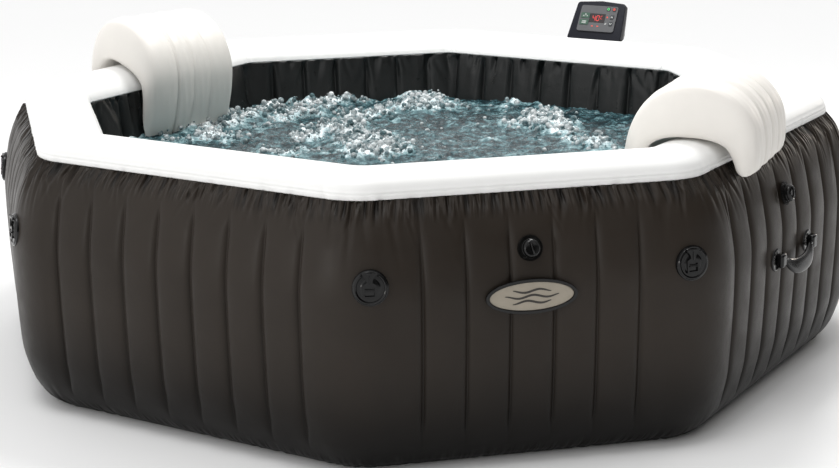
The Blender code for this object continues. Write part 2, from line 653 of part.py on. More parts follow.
FW, FH = 0.0640, 0.0435                            # half sizes of the fascia
FY = 0.008                                         # fascia centre above the panel's middle


def fuv(u, v):
    return (-FW + 2 * FW * u, FY + FH - 2 * FH * v)


DISP = (0.495, 0.485, 0.0265, 0.0150)
BUTTONS = [("button_bubble", 0.160, 0.400, 0.0150, 0.0090), ("button_filter", 0.160, 0.660, 0.0150, 0.0090),
           ("button_power", 0.745, 0.115, 0.0060, 0.0060), ("button_heater", 0.900, 0.115, 0.0060, 0.0060),
           ("button_temp_up", 0.885, 0.420, 0.0060, 0.0070), ("button_temp_down", 0.885, 0.680, 0.0060, 0.0070)]
holes = []
cx, cy = fuv(DISP[0], DISP[1])
holes.append(list(reversed(round_rect(DISP[2] + 0.0004, DISP[3] + 0.0004, 0.0012, 1, cx, cy))))
for name, u, v, w, h in BUTTONS:
    cx, cy = fuv(u, v)
    holes.append(list(reversed(round_rect(w + 0.0004, h + 0.0004, 0.0020, 1, cx, cy))))
plate("panel_fascia", [round_rect(FW, FH, 0.007, 3, 0.0, FY)] + holes, 0.0040, grey_plastic(),
      PANEL @ Matrix.Translation((0, 0, GAP)))
cx, cy = fuv(DISP[0], DISP[1])
plate("panel_display", [round_rect(DISP[2], DISP[3], 0.0010, 1, cx, cy)], 0.0036, dark_glass(),
      PANEL @ Matrix.Translation((0, 0, GAP)))
for name, u, v, w, h in BUTTONS:
    cx, cy = fuv(u, v)
    plate(name, [round_rect(w, h, 0.0018, 1, 0.0, 0.0)], 0.0034, black_plastic(),
          PANEL @ Matrix.Translation((cx, cy, 0.0022)))
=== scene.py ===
import bpy, bmesh, json
import numpy as np
from math import sin, cos, tan, radians, pi, sqrt, atan2
from mathutils import Vector, Matrix, noise


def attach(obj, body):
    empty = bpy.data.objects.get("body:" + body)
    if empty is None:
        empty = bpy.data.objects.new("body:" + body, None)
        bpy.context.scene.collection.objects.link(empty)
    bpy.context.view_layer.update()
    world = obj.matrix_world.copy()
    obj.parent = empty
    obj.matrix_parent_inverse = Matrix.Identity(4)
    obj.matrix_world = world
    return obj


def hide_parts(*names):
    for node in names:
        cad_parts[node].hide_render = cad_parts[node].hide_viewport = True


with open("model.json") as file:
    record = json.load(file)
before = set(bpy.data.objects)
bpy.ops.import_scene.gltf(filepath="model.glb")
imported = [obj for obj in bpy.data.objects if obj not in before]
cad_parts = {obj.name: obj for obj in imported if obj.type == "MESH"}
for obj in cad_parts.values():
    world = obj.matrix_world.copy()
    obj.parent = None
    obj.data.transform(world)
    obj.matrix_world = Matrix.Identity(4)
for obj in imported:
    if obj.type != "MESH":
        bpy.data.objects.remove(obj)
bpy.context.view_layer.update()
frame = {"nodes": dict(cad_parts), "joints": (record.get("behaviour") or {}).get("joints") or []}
NODE = frame["nodes"]
JOINT = {j["name"]: j for j in frame["joints"]}

# ------------------------------------------------------------------ measures
A_MAIN, A_DIAG, PITCH = 1.0844, 1.0626, 0.0995
BASE_INSET, Z_RIM, RIM_TOP = 0.0773, 0.620, 0.677
SIDES = ("R", "BR", "B", "BL", "L", "FL", "F", "FR")
ANG = {"R": 0, "BR": 45, "B": 90, "BL": 135, "L": 180, "FL": 225, "F": 270, "FR": 315}
MAIN = ("F", "B", "L", "R")


def n_of(s):
    a = radians(ANG[s])
    return Vector((cos(a), sin(a), 0.0))


def t_of(s):
    a = radians(ANG[s])
    return Vector((-sin(a), cos(a), 0.0))


def apothem(s):
    return A_MAIN if s in MAIN else A_DIAG


def corner_radius(i):
    if i <= 0.05:
        return 0.20 - 1.1 * i
    if i <= 0.235:
        return 0.145 - 0.5 * (i - 0.05)
    return 0.0525


def seams(s):
    n = 6 if s in MAIN else 8
    return [(i - (n - 1) / 2.0) * PITCH for i in range(n)]


def half_side(s, inset):
    other = (A_DIAG if s in MAIN else A_MAIN) - inset
    return other * sqrt(2.0) - (apothem(s) - inset)


def frame_on(side, t, z, out, tilt=0.0, turn=0.0, centre=None):
    ang = radians(ANG[side] + turn)
    n = Vector((cos(ang), sin(ang), 0.0))
    tt = Vector((-sin(ang), cos(ang), 0.0))
    zz = (n * cos(radians(tilt)) + Vector((0, 0, 1)) * sin(radians(tilt))).normalized()
    yy = zz.cross(tt)
    base = n_of(side) * out + t_of(side) * t if centre is None else centre + n * out
    m = Matrix((tt, yy, zz)).transposed().to_4x4()
    m.translation = Vector((base.x, base.y, z))
    return m


def lock_frame(side, sgn, out):
    r = corner_radius(0.005)
    reach = half_side(side, 0.005) - r * tan(radians(22.5))
    centre = n_of(side) * (apothem(side) - 0.005 - r) + t_of(side) * (sgn * reach)
    return frame_on(side, 0.0, 0.445, r + out, tilt=5.0, turn=sgn * 8.5, centre=centre)


def smooth(x, xp, fp):
    """Monotone cubic through (xp, fp)."""
    xp, fp = np.asarray(xp, float), np.asarray(fp, float)
    x = np.clip(np.asarray(x, float), xp[0], xp[-1])
    h = np.diff(xp)
    d = np.diff(fp) / h
    m = np.zeros_like(xp)
    for i in range(1, len(xp) - 1):
        if d[i - 1] * d[i] > 0:
            w1, w2 = 2 * h[i] + h[i - 1], h[i] + 2 * h[i - 1]
            m[i] = (w1 + w2) / (w1 / d[i - 1] + w2 / d[i])
    m[0], m[-1] = d[0], d[-1]
    i = np.clip(np.searchsorted(xp, x, side="right") - 1, 0, len(h) - 1)
    t = (x - xp[i]) / h[i]
    return ((2 * t**3 - 3 * t**2 + 1) * fp[i] + (t**3 - 2 * t**2 + t) * h[i] * m[i]
            + (-2 * t**3 + 3 * t**2) * fp[i + 1] + (t**3 - t**2) * h[i] * m[i + 1])


def catmull(pts, per, closed=False):
    """Points along a Catmull-Rom line through pts, per steps a span."""
    p = np.asarray(pts, float)
    n = len(p)
    out = []
    spans = n if closed else n - 1
    for i in range(spans):
        if closed:
            a, b, c, d = p[(i - 1) % n], p[i], p[(i + 1) % n], p[(i + 2) % n]
        else:
            b, c = p[i], p[i + 1]
            a = p[i - 1] if i > 0 else 2 * b - c
            d = p[i + 2] if i + 2 < n else 2 * c - b
        for k in range(per):
            t = k / per
            out.append(0.5 * (2 * b + (c - a) * t + (2 * a - 5 * b + 4 * c - d) * t * t
                              + (3 * b - a - 3 * c + d) * t**3))
    if not closed:
        out.append(p[-1])
    return np.array(out)


# ------------------------------------------------------------------ materials
def mat(name, base, rough=0.5, metal=0.0, spec=0.5, vary=0.12, vscale=3.0, rvary=0.08, grain=0.0, gscale=600.0,
        gdist=0.0004, coat=0.0, sheen=0.0, fine=0.0, fscale=90.0, fdist=0.002, emit=None, estr=1.0, painted_low_shade=None,
        stretch=None, trans=0.0, ior=1.45, brush=False):
    m = bpy.data.materials.new(name)
    m.use_nodes = True
    nt = m.node_tree
    b = nt.nodes["Principled BSDF"]
    b.inputs["Roughness"].default_value = rough
    b.inputs["Metallic"].default_value = metal
    b.inputs["Specular IOR Level"].default_value = spec
    b.inputs["Coat Weight"].default_value = coat
    b.inputs["Coat Roughness"].default_value = 0.12
    b.inputs["Sheen Weight"].default_value = sheen
    b.inputs["Transmission Weight"].default_value = trans
    b.inputs["IOR"].default_value = ior
    tc = nt.nodes.new("ShaderNodeTexCoord")
    src = tc.outputs["Object"]
    if stretch:
        mp = nt.nodes.new("ShaderNodeMapping")
        mp.inputs["Scale"].default_value = stretch
        nt.links.new(src, mp.inputs["Vector"])
        src = mp.outputs["Vector"]
    nz = nt.nodes.new("ShaderNodeTexNoise")
    nz.inputs["Scale"].default_value = vscale
    nz.inputs["Detail"].default_value = 6.0
    nz.inputs["Roughness"].default_value = 0.62
    nt.links.new(src, nz.inputs["Vector"])
    cr = nt.nodes.new("ShaderNodeValToRGB")
    cr.color_ramp.elements[0].position = 0.28
    cr.color_ramp.elements[1].position = 0.72
    lo = [max(0.0, c * (1 - vary)) for c in base]
    hi = [min(1.0, c * (1 + vary)) for c in base]
    cr.color_ramp.elements[0].color = (*lo, 1)
    cr.color_ramp.elements[1].color = (*hi, 1)
    nt.links.new(nz.outputs["Fac"], cr.inputs["Fac"])
    col = cr.outputs["Color"]
    # painted shade: below z1 the colour is mixed towards a near-black tint, most strongly at z0 and below
    if painted_low_shade:
        z0, z1, low, tint = painted_low_shade
        sp = nt.nodes.new("ShaderNodeSeparateXYZ")
        nt.links.new(tc.outputs["Object"], sp.inputs["Vector"])
        mr = nt.nodes.new("ShaderNodeMapRange")
        mr.interpolation_type = "SMOOTHSTEP"
        mr.inputs["From Min"].default_value = z0
        mr.inputs["From Max"].default_value = z1
        mr.inputs["To Min"].default_value = low
        mr.inputs["To Max"].default_value = 1.0
        nt.links.new(sp.outputs["Z"], mr.inputs["Value"])
        painted_shade_mix = nt.nodes.new("ShaderNodeMix")
        painted_shade_mix.data_type = "RGBA"
        painted_shade_mix.blend_type = "MIX"
        painted_shade_mix.inputs["A"].default_value = (*tint, 1)
        nt.links.new(mr.outputs["Result"], painted_shade_mix.inputs["Factor"])
        nt.links.new(col, painted_shade_mix.inputs["B"])
        col = painted_shade_mix.outputs["Result"]
    nt.links.new(col, b.inputs["Base Color"])
    if rvary:
        rr = nt.nodes.new("ShaderNodeMapRange")
        rr.inputs["From Min"].default_value = 0.3
        rr.inputs["From Max"].default_value = 0.7
        rr.inputs["To Min"].default_value = max(0.02, rough - rvary)
        rr.inputs["To Max"].default_value = min(1.0, rough + rvary)
        n2 = nt.nodes.new("ShaderNodeTexNoise")
        n2.inputs["Scale"].default_value = vscale * 6.0
        n2.inputs["Detail"].default_value = 4.0
        nt.links.new(src, n2.inputs["Vector"])
        nt.links.new(n2.outputs["Fac"], rr.inputs["Value"])
        nt.links.new(rr.outputs["Result"], b.inputs["Roughness"])
    last = None
    if fine:
        n3 = nt.nodes.new("ShaderNodeTexNoise")
        n3.inputs["Scale"].default_value = fscale
        n3.inputs["Detail"].default_value = 3.0
        nt.links.new(src, n3.inputs["Vector"])
        bp = nt.nodes.new("ShaderNodeBump")
        bp.inputs["Strength"].default_value = fine
        bp.inputs["Distance"].default_value = fdist
        nt.links.new(n3.outputs["Fac"], bp.inputs["Height"])
        last = bp
    if grain:
        if brush:
            n4 = nt.nodes.new("ShaderNodeTexNoise")
            n4.inputs["Scale"].default_value = gscale
        else:
            n4 = nt.nodes.new("ShaderNodeTexVoronoi")
            n4.inputs["Scale"].default_value = gscale
        nt.links.new(src, n4.inputs["Vector"])
        bp = nt.nodes.new("ShaderNodeBump")
        bp.inputs["Strength"].default_value = grain
        bp.inputs["Distance"].default_value = gdist
        nt.links.new(n4.outputs[0], bp.inputs["Height"])
        if last:
            nt.links.new(last.outputs["Normal"], bp.inputs["Normal"])
        last = bp
    if last:
        nt.links.new(last.outputs["Normal"], b.inputs["Normal"])
    if emit:
        b.inputs["Emission Color"].default_value = (*emit, 1)
        b.inputs["Emission Strength"].default_value = estr
    return m


# painted shade: the wall colour darkens towards its bottom (z 0.02 to 0.31), and gather() paints shade into the bottoms
# of the folds
WALL = mat("wall_vinyl_look", (0.0260, 0.0205, 0.0162), rough=0.40, spec=0.20, vary=0.16, vscale=2.6, rvary=0.07,
           grain=0.22, gscale=750.0, gdist=0.0004, fine=0.16, fscale=55.0, fdist=0.0022,
           painted_low_shade=(0.02, 0.31, 0.06, (0.0025, 0.0022, 0.002)))


def gather(m, z0, z1, dist):
    """Fine upright gathers next to a weld, from z0 (none) to z1 (full), with painted shade in their bottoms."""
    nt = m.node_tree
    b = nt.nodes["Principled BSDF"]
    tc = nt.nodes.new("ShaderNodeTexCoord")
    sp = nt.nodes.new("ShaderNodeSeparateXYZ")
    nt.links.new(tc.outputs["Object"], sp.inputs["Vector"])
    xy = nt.nodes.new("ShaderNodeCombineXYZ")                 # the direction from the middle, so that the pattern runs upright
    nt.links.new(sp.outputs["X"], xy.inputs["X"])
    nt.links.new(sp.outputs["Y"], xy.inputs["Y"])
    un = nt.nodes.new("ShaderNodeVectorMath")
    un.operation = "NORMALIZE"
    nt.links.new(xy.outputs["Vector"], un.inputs[0])
    mp = nt.nodes.new("ShaderNodeMapping")
    mp.inputs["Scale"].default_value = (78.0, 78.0, 1.0)
    nt.links.new(un.outputs["Vector"], mp.inputs["Vector"])
    up_ = nt.nodes.new("ShaderNodeMapping")
    up_.inputs["Scale"].default_value = (0.0, 0.0, 9.0)
    nt.links.new(tc.outputs["Object"], up_.inputs["Vector"])
    ad = nt.nodes.new("ShaderNodeVectorMath")
    ad.operation = "ADD"
    nt.links.new(mp.outputs["Vector"], ad.inputs[0])
    nt.links.new(up_.outputs["Vector"], ad.inputs[1])
    nz = nt.nodes.new("ShaderNodeTexNoise")
    nz.inputs["Scale"].default_value = 1.0
    nz.inputs["Detail"].default_value = 1.5
    nt.links.new(ad.outputs["Vector"], nz.inputs["Vector"])
    mr = nt.nodes.new("ShaderNodeMapRange")
    mr.interpolation_type = "SMOOTHSTEP"
    mr.inputs["From Min"].default_value, mr.inputs["From Max"].default_value = z0, z1
    nt.links.new(sp.outputs["Z"], mr.inputs["Value"])
    half = nt.nodes.new("ShaderNodeMath")
    half.operation = "SUBTRACT"
    nt.links.new(nz.outputs["Fac"], half.inputs[0])
    half.inputs[1].default_value = 0.5
    mu = nt.nodes.new("ShaderNodeMath")
    mu.operation = "MULTIPLY"
    nt.links.new(half.outputs[0], mu.inputs[0])
    nt.links.new(mr.outputs["Result"], mu.inputs[1])
    bp = nt.nodes.new("ShaderNodeBump")
    bp.inputs["Strength"].default_value = 1.0
    bp.inputs["Distance"].default_value = dist
    nt.links.new(mu.outputs[0], bp.inputs["Height"])
    if b.inputs["Normal"].links:
        nt.links.new(b.inputs["Normal"].links[0].from_socket, bp.inputs["Normal"])
    nt.links.new(bp.outputs["Normal"], b.inputs["Normal"])
    # painted shade: near-black mixed into the base colour in the bottoms of the gathers, where the fold noise is low
    painted_fold_shade = nt.nodes.new("ShaderNodeMapRange")
    for k_, v_ in (("From Min", 0.52), ("From Max", 0.38), ("To Min", 0.0), ("To Max", 0.85)):
        painted_fold_shade.inputs[k_].default_value = v_
    nt.links.new(nz.outputs["Fac"], painted_fold_shade.inputs["Value"])
    m2 = nt.nodes.new("ShaderNodeMath")
    m2.operation = "MULTIPLY"
    nt.links.new(painted_fold_shade.outputs["Result"], m2.inputs[0])
    nt.links.new(mr.outputs["Result"], m2.inputs[1])
    painted_shade_mix = nt.nodes.new("ShaderNodeMix")
    painted_shade_mix.data_type = "RGBA"
    painted_shade_mix.inputs["B"].default_value = (0.0022, 0.0018, 0.0015, 1)
    nt.links.new(m2.outputs[0], painted_shade_mix.inputs["Factor"])
    nt.links.new(b.inputs["Base Color"].links[0].from_socket, painted_shade_mix.inputs["A"])
    nt.links.new(painted_shade_mix.outputs["Result"], b.inputs["Base Color"])


gather(WALL, 0.566, 0.612, 0.022)
gather(WALL, 0.045, 0.004, 0.014)
LINER = mat("liner_vinyl_look", (0.0105, 0.0115, 0.0115), rough=0.34, spec=0.42, vary=0.22, vscale=5.0, rvary=0.08,
            grain=0.2, gscale=750.0, gdist=0.0004, fine=0.3, fscale=34.0, fdist=0.004)
RIM = mat("rim_vinyl_look", (0.89, 0.89, 0.88), rough=0.42, spec=0.45, vary=0.012, vscale=7.0, rvary=0.07,
          grain=0.10, gscale=900.0, gdist=0.0002, fine=0.10, fscale=26.0, fdist=0.003)
CREAM = mat("headrest_look", (0.83, 0.80, 0.755), rough=0.44, spec=0.42, vary=0.02, vscale=9.0, rvary=0.07,
            grain=0.12, gscale=900.0, gdist=0.0002, fine=0.10, fscale=30.0, fdist=0.0025)
UNDER = mat("under_sheet_look", (0.60, 0.585, 0.56), rough=0.55, vary=0.05, vscale=12.0, grain=0.12, gscale=800.0)
BLACK = mat("black_gloss_look", (0.0040, 0.0040, 0.0042), rough=0.17, spec=0.38, vary=0.3, vscale=30.0, rvary=0.05,
            grain=0.03, gscale=500.0, gdist=0.0002)
BLACKM = mat("black_satin_look", (0.0075, 0.0073, 0.007), rough=0.40, spec=0.3, vary=0.25, vscale=26.0, rvary=0.07, grain=0.10,
             gscale=900.0, gdist=0.0002)
GREY = mat("grey_plastic_look", (0.088, 0.090, 0.095), rough=0.46, vary=0.08, vscale=18.0, grain=0.12, gscale=1100.0,
           gdist=0.0002)
CASE = mat("case_plastic_look", (0.20, 0.205, 0.21), rough=0.5, vary=0.07, vscale=9.0, grain=0.16, gscale=800.0,
           gdist=0.0003, fine=0.06, fscale=20.0)
NAVY = mat("navy_plastic_look", (0.0085, 0.0095, 0.0150), rough=0.38, spec=0.25, vary=0.12, vscale=20.0, grain=0.10, gscale=900.0,
           gdist=0.0002)
PLATE = mat("badge_plate_look", (0.33, 0.295, 0.24), rough=0.42, metal=0.35, vary=0.05, vscale=30.0, rvary=0.05,
            grain=0.18, gscale=420.0, gdist=0.0002, stretch=(1, 1, 14), brush=True)
MARK = mat("badge_mark_look", (0.030, 0.026, 0.022), rough=0.4, vary=0.15, vscale=60.0)
STEEL = mat("steel_look", (0.55, 0.55, 0.56), rough=0.3, metal=1.0, vary=0.06, vscale=25.0, grain=0.1, gscale=300.0,
            gdist=0.0002, brush=True)
GLASS = mat("display_look", (0.012, 0.006, 0.007), rough=0.08, vary=0.2, vscale=60.0, rvary=0.02, coat=0.6)
DIGIT = mat("digit_look", (0.45, 0.03, 0.03), rough=0.3, vary=0.08, vscale=90.0, emit=(0.9, 0.10, 0.09), estr=0.9)
GREENB = mat("button_green_look", (0.040, 0.088, 0.062), rough=0.55, vary=0.12, vscale=60.0, grain=0.1)
DARKB = mat("button_dark_look", (0.038, 0.042, 0.046), rough=0.5, vary=0.12, vscale=60.0, grain=0.1)
ICON_G = mat("icon_green_look", (0.10, 0.55, 0.16), rough=0.4, vary=0.08, vscale=90.0, emit=(0.1, 0.9, 0.25), estr=0.35)
ICON_R = mat("icon_red_look", (0.62, 0.07, 0.05), rough=0.4, vary=0.08, vscale=90.0, emit=(0.9, 0.08, 0.05), estr=0.35)
ICON_W = mat("icon_white_look", (0.72, 0.74, 0.72), rough=0.4, vary=0.05, vscale=90.0)
WEB = mat("web_look", (0.5, 0.5, 0.49), rough=0.8, vary=0.06, vscale=40.0, grain=0.3, gscale=500.0)


# ------------------------------------------------------------------ mesh tools
def new_obj(name, me, material, body="tub", matrix=None, soft=True, angle=None):
    ob = bpy.data.objects.new(name, me)
    bpy.context.scene.collection.objects.link(ob)
    me.materials.append(material)
    if matrix is not None:
        ob.matrix_world = matrix
    if soft:
        me.shade_smooth()
        if angle:
            me.set_sharp_from_angle(angle=radians(angle))
    if body:
        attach(ob, body)
    return ob


def grid_mesh(name, rows, wrap_v=True, wrap_u=True):
    """rows: array (nv, nu, 3). Quads between neighbours; caps are left to the caller."""
    nv, nu, _ = rows.shape
    me = bpy.data.meshes.new(name)
    v = np.arange(nv * nu).reshape(nv, nu)
    a = v if wrap_v else v[:-1]
    b = np.roll(v, -1, 0) if wrap_v else v[1:]
    if wrap_u:
        q = np.stack([a, np.roll(a, -1, 1), np.roll(b, -1, 1), b], -1).reshape(-1, 4)
    else:
        q = np.stack([a[:, :-1], a[:, 1:], b[:, 1:], b[:, :-1]], -1).reshape(-1, 4)
    me.vertices.add(nv * nu)
    me.vertices.foreach_set("co", rows.reshape(-1).astype(np.float32))
    me.loops.add(q.size)
    me.loops.foreach_set("vertex_index", q.reshape(-1).astype(np.int32))
    me.polygons.add(len(q))
    me.polygons.foreach_set("loop_start", np.arange(0, q.size, 4, dtype=np.int32))
    me.update(calc_edges=True)
    me.validate()
    return me


def cap_ends(me, loops):
    """Closes a tube with an n-gon over each vertex index loop."""
    bm = bmesh.new()
    bm.from_mesh(me)
    bm.verts.ensure_lookup_table()
    for lp in loops:
        bm.faces.new([bm.verts[i] for i in lp])
    bmesh.ops.recalc_face_normals(bm, faces=bm.faces)
    bm.to_mesh(me)
    bm.free()


def bm_obj(name, bm, material, body="tub", matrix=None, angle=35.0, bevel=0.0, segs=2, sub=0):
    bmesh.ops.recalc_face_normals(bm, faces=bm.faces)
    me = bpy.data.meshes.new(name)
    bm.to_mesh(me)
    bm.free()
    ob = new_obj(name, me, material, body, matrix, True, angle)
    if bevel:
        md = ob.modifiers.new("edge", "BEVEL")
        md.width, md.segments, md.limit_method, md.angle_limit = bevel, segs, "ANGLE", radians(35)
    if sub:
        md = ob.modifiers.new("sub", "SUBSURF")
        md.levels = md.render_levels = sub
    return ob


def lathe(name, prof, material, matrix, body="tub", steps=48, angle=28.0):
    """Closed solid of revolution round local Z; a profile that starts and ends on the axis, or a closed loop."""
    bm = bmesh.new()
    rings = []
    for r, z in prof:
        if r < 1e-6:
            rings.append([bm.verts.new((0, 0, z))])
        else:
            rings.append([bm.verts.new((r * cos(2 * pi * k / steps), r * sin(2 * pi * k / steps), z)) for k in range(steps)])
    pairs = list(zip(rings[:-1], rings[1:]))
    if len(rings[0]) > 1:
        pairs.append((rings[-1], rings[0]))
    for a, b in pairs:
        for k in range(steps):
            k2 = (k + 1) % steps
            if len(a) == 1 and len(b) == 1:
                continue
            if len(a) == 1:
                bm.faces.new((a[0], b[k], b[k2]))
            elif len(b) == 1:
                bm.faces.new((a[k], a[k2], b[0]))
            else:
                bm.faces.new((a[k], a[k2], b[k2], b[k]))
    return bm_obj(name, bm, material, body, matrix, angle)


def prism(name, outline, z0, z1, material, matrix, body="tub", bevel=0.0, segs=2, holes=()):
    cu = bpy.data.curves.new(name, "CURVE")
    cu.dimensions, cu.fill_mode, cu.extrude = "2D", "BOTH", (z1 - z0) / 2.0
    for pts in [outline, *holes]:
        sp = cu.splines.new("POLY")
        sp.points.add(len(pts) - 1)
        for i, (x, y) in enumerate(pts):
            sp.points[i].co = (x, y, 0, 1)
        sp.use_cyclic_u = True
    tmp = bpy.data.objects.new(name + "_tmp", cu)
    bpy.context.scene.collection.objects.link(tmp)
    dg = bpy.context.evaluated_depsgraph_get()
    me = bpy.data.meshes.new_from_object(tmp.evaluated_get(dg))
    bpy.data.objects.remove(tmp, do_unlink=True)
    bm = bmesh.new()
    bm.from_mesh(me)
    bpy.data.meshes.remove(me)
    bmesh.ops.remove_doubles(bm, verts=bm.verts, dist=0.00001)
    bmesh.ops.translate(bm, verts=bm.verts, vec=(0, 0, (z0 + z1) / 2.0))
    bmesh.ops.dissolve_limit(bm, angle_limit=0.001, verts=bm.verts, edges=bm.edges)
    return bm_obj(name, bm, material, body, matrix, 35.0, bevel, segs)


def rod(name, pts, radius, material, matrix=None, body="tub", sides=12, flat=1.0, up=(0, 0, 1), radii=None):
    """Round or oval bar along points, with flat capped ends."""
    p = np.asarray(pts, float)
    n = len(p)
    rows = []
    for i in range(n):
        d = p[min(i + 1, n - 1)] - p[max(i - 1, 0)]
        d /= np.linalg.norm(d)
        u = np.asarray(up, float)
        x = np.cross(d, u)
        x /= np.linalg.norm(x)
        y = np.cross(x, d)
        r = radius if radii is None else radii[i]
        a = np.linspace(0, 2 * pi, sides, endpoint=False)
        rows.append(p[i] + np.outer(np.cos(a) * r, x) + np.outer(np.sin(a) * r * flat, y))
    me = grid_mesh(name, np.array(rows), wrap_v=False)
    cap_ends(me, [list(range(sides)), list(range((n - 1) * sides, n * sides))])
    return new_obj(name, me, material, body, matrix, True, 40)


def ellipse(a, b, n, cx=0.0, cy=0.0):
    return [(cx + a * cos(2 * pi * i / n), cy + b * sin(2 * pi * i / n)) for i in range(n)]


def round_rect(w, h, r, n=5, cx=0.0, cy=0.0):
    pts = []
    for qx, qy, a0 in ((1, 1, 0), (-1, 1, 90), (-1, -1, 180), (1, -1, 270)):
        for k in range(n + 1):
            a = radians(a0 + 90.0 * k / n)
            pts.append((cx + qx * (w - r) + r * cos(a), cy + qy * (h - r) + r * sin(a)))
    return pts


# ------------------------------------------------------------------ stations round the octagon
def stations(sub, csub, arc, with_seams=True):
    """Arrays: side index, kind (0 straight at t, 1 before first seam, 2 after last seam, 3 arc), value, lobe coordinate."""
    k, kind, val, lob = [], [], [], []
    for i, s in enumerate(SIDES):
        sm = seams(s)
        for j in range(csub):
            k.append(i), kind.append(1), val.append(j / csub), lob.append(-1.0)
        for a in range(len(sm) - 1):
            for j in range(sub):
                k.append(i), kind.append(0), val.append(sm[a] + PITCH * j / sub), lob.append(j / sub)
        for j in range(csub + 1):
            k.append(i), kind.append(2), val.append(j / csub), lob.append(-1.0 if j else 0.0)
        for j in range(1, arc):
            k.append(i), kind.append(3), val.append(j / arc), lob.append(-1.0)
    return np.array(k), np.array(kind), np.array(val), np.array(lob)


NA = np.array([[n_of(s).x, n_of(s).y] for s in SIDES])
TA = np.array([[t_of(s).x, t_of(s).y] for s in SIDES])
SA = np.array([ANG[s] for s in SIDES], float)
AP = np.array([apothem(s) for s in SIDES])
FIRST = np.array([seams(s)[0] for s in SIDES])


def loop_at(st, inset, radius):
    """Plan positions and outward normals of all stations at one inset."""
    k, kind, val, _ = st
    reach = np.array([half_side(s, inset) for s in SIDES]) - radius * tan(radians(22.5))
    t = np.where(kind == 0, val, 0.0)
    t = np.where(kind == 1, -reach[k] + (FIRST[k] + reach[k]) * val, t)
    t = np.where(kind == 2, -FIRST[k] + (reach[k] + FIRST[k]) * val, t)
    P = NA[k] * (AP[k] - inset)[:, None] + TA[k] * t[:, None]
    Nn = NA[k].copy()
    m = kind == 3
    ang = np.radians(SA[k[m]] + 45.0 * val[m])
    c = NA[k[m]] * (AP[k[m]] - inset - radius)[:, None] + TA[k[m]] * reach[k[m]][:, None]
    d = np.stack([np.cos(ang), np.sin(ang)], 1)
    P[m] = c + d * radius
    Nn[m] = d
    return P, Nn


def perimeter(P):
    d = np.linalg.norm(np.roll(P, -1, 0) - P, axis=1)
    return np.concatenate([[0], np.cumsum(d)[:-1]]), d.sum()


def seam_distance(st, U, total):
    """Distance along the loop to the nearest seam."""
    k, kind, val, lob = st
    s = U[lob == 0.0]
    d = np.abs(U[:, None] - s[None, :])
    return np.minimum(d, total - d).min(1)


def fold_field(U, total, Z, folds):
    """Sum of sharp folds. Each: (u, z of the weld, length, width, depth, slant, sign of direction)."""
    out = np.zeros((len(Z), len(U)))
    for u, z0, ln, w, dep, sl, sg in folds:
        q = (Z - z0) * sg
        rows = np.where((q > -0.004) & (q < ln * 2.4))[0]
        if not len(rows):
            continue
        du = U[None, :] - u - sl * q[rows][:, None]
        du = (du + total / 2) % total - total / 2
        cols = np.where(np.abs(du[0]) < w * 5 + 0.06)[0]
        if not len(cols):
            continue
        d = du[:, cols] / w
        e = np.exp(-np.clip(q[rows], 0, None) ** 1.6 / ln**1.6)[:, None]
        shape = -np.exp(-np.abs(d) ** 1.35 * 1.1) + 0.42 * (np.exp(-(d - 2.0) ** 2) + np.exp(-(d + 2.0) ** 2))
        out[np.ix_(rows, cols)] += dep * e * shape
    return out


def noise1(U, total, scale, seed, octaves=2):
    r = np.zeros(len(U))
    R = total / (2 * pi)
    for i, u in enumerate(U):
        a = u / R
        r[i] = noise.fractal(Vector((cos(a) * R * scale, sin(a) * R * scale, seed * 3.7)), 1.0, 2.0, octaves)
    return r


rng = np.random.default_rng(7)

# ------------------------------------------------------------------ outer wall
OUT_ROWS = [(0.0, BASE_INSET, 0.0), (0.020, 0.0520, 0.003), (0.070, 0.0260, 0.009), (0.160, 0.0080, 0.013),
            (0.400, 0.0010, 0.014), (0.510, 0.0145, 0.011), (0.585, 0.0370, 0.005), (Z_RIM - 0.0003, 0.0605, 0.0)]
st = stations(44, 22, 52)
zr = np.concatenate([np.linspace(0, 0.045, 14), np.linspace(0.060, 0.49, 30), np.linspace(0.498, Z_RIM - 0.0003, 56)])
ins = smooth(zr, [r[0] for r in OUT_ROWS], [r[1] for r in OUT_ROWS])
bul = smooth(zr, [r[0] for r in OUT_ROWS], [r[2] for r in OUT_ROWS])
P0, _ = loop_at(st, 0.02, corner_radius(0.02))
U, TOT = perimeter(P0)
SD = seam_distance(st, U, TOT)
lob = st[3]
x_ = np.where(lob >= 0, np.abs(2 * lob - 1), 1 - np.minimum(1, SD / 0.050))
lobe = 0.36 * (1 - x_**2.2) + 0.64 * (1 - x_**9.0)             # a flat lobe between narrow welded creases
amp = 1.0 + 0.16 * noise1(U, TOT, 6.0, 1)
corner_u = np.array([U[(st[0] == i) & (st[1] == 3)].mean() for i in range(8)])
cd = np.abs(U[:, None] - corner_u[None, :])
cd = np.minimum(cd, TOT - cd).min(1)                         # distance to the nearest corner


def pick(n, near, spread, seed):
    """n places round the loop, most of them near corners."""
    r = np.random.default_rng(seed)
    out = []
    while len(out) < n:
        u = r.uniform(0, TOT)
        d = np.abs(u - corner_u)
        d = np.minimum(d, TOT - d).min()
        if r.uniform() < 1 - near + near * np.exp(-(d / spread) ** 2):
            out.append((u, d))
    return out, r


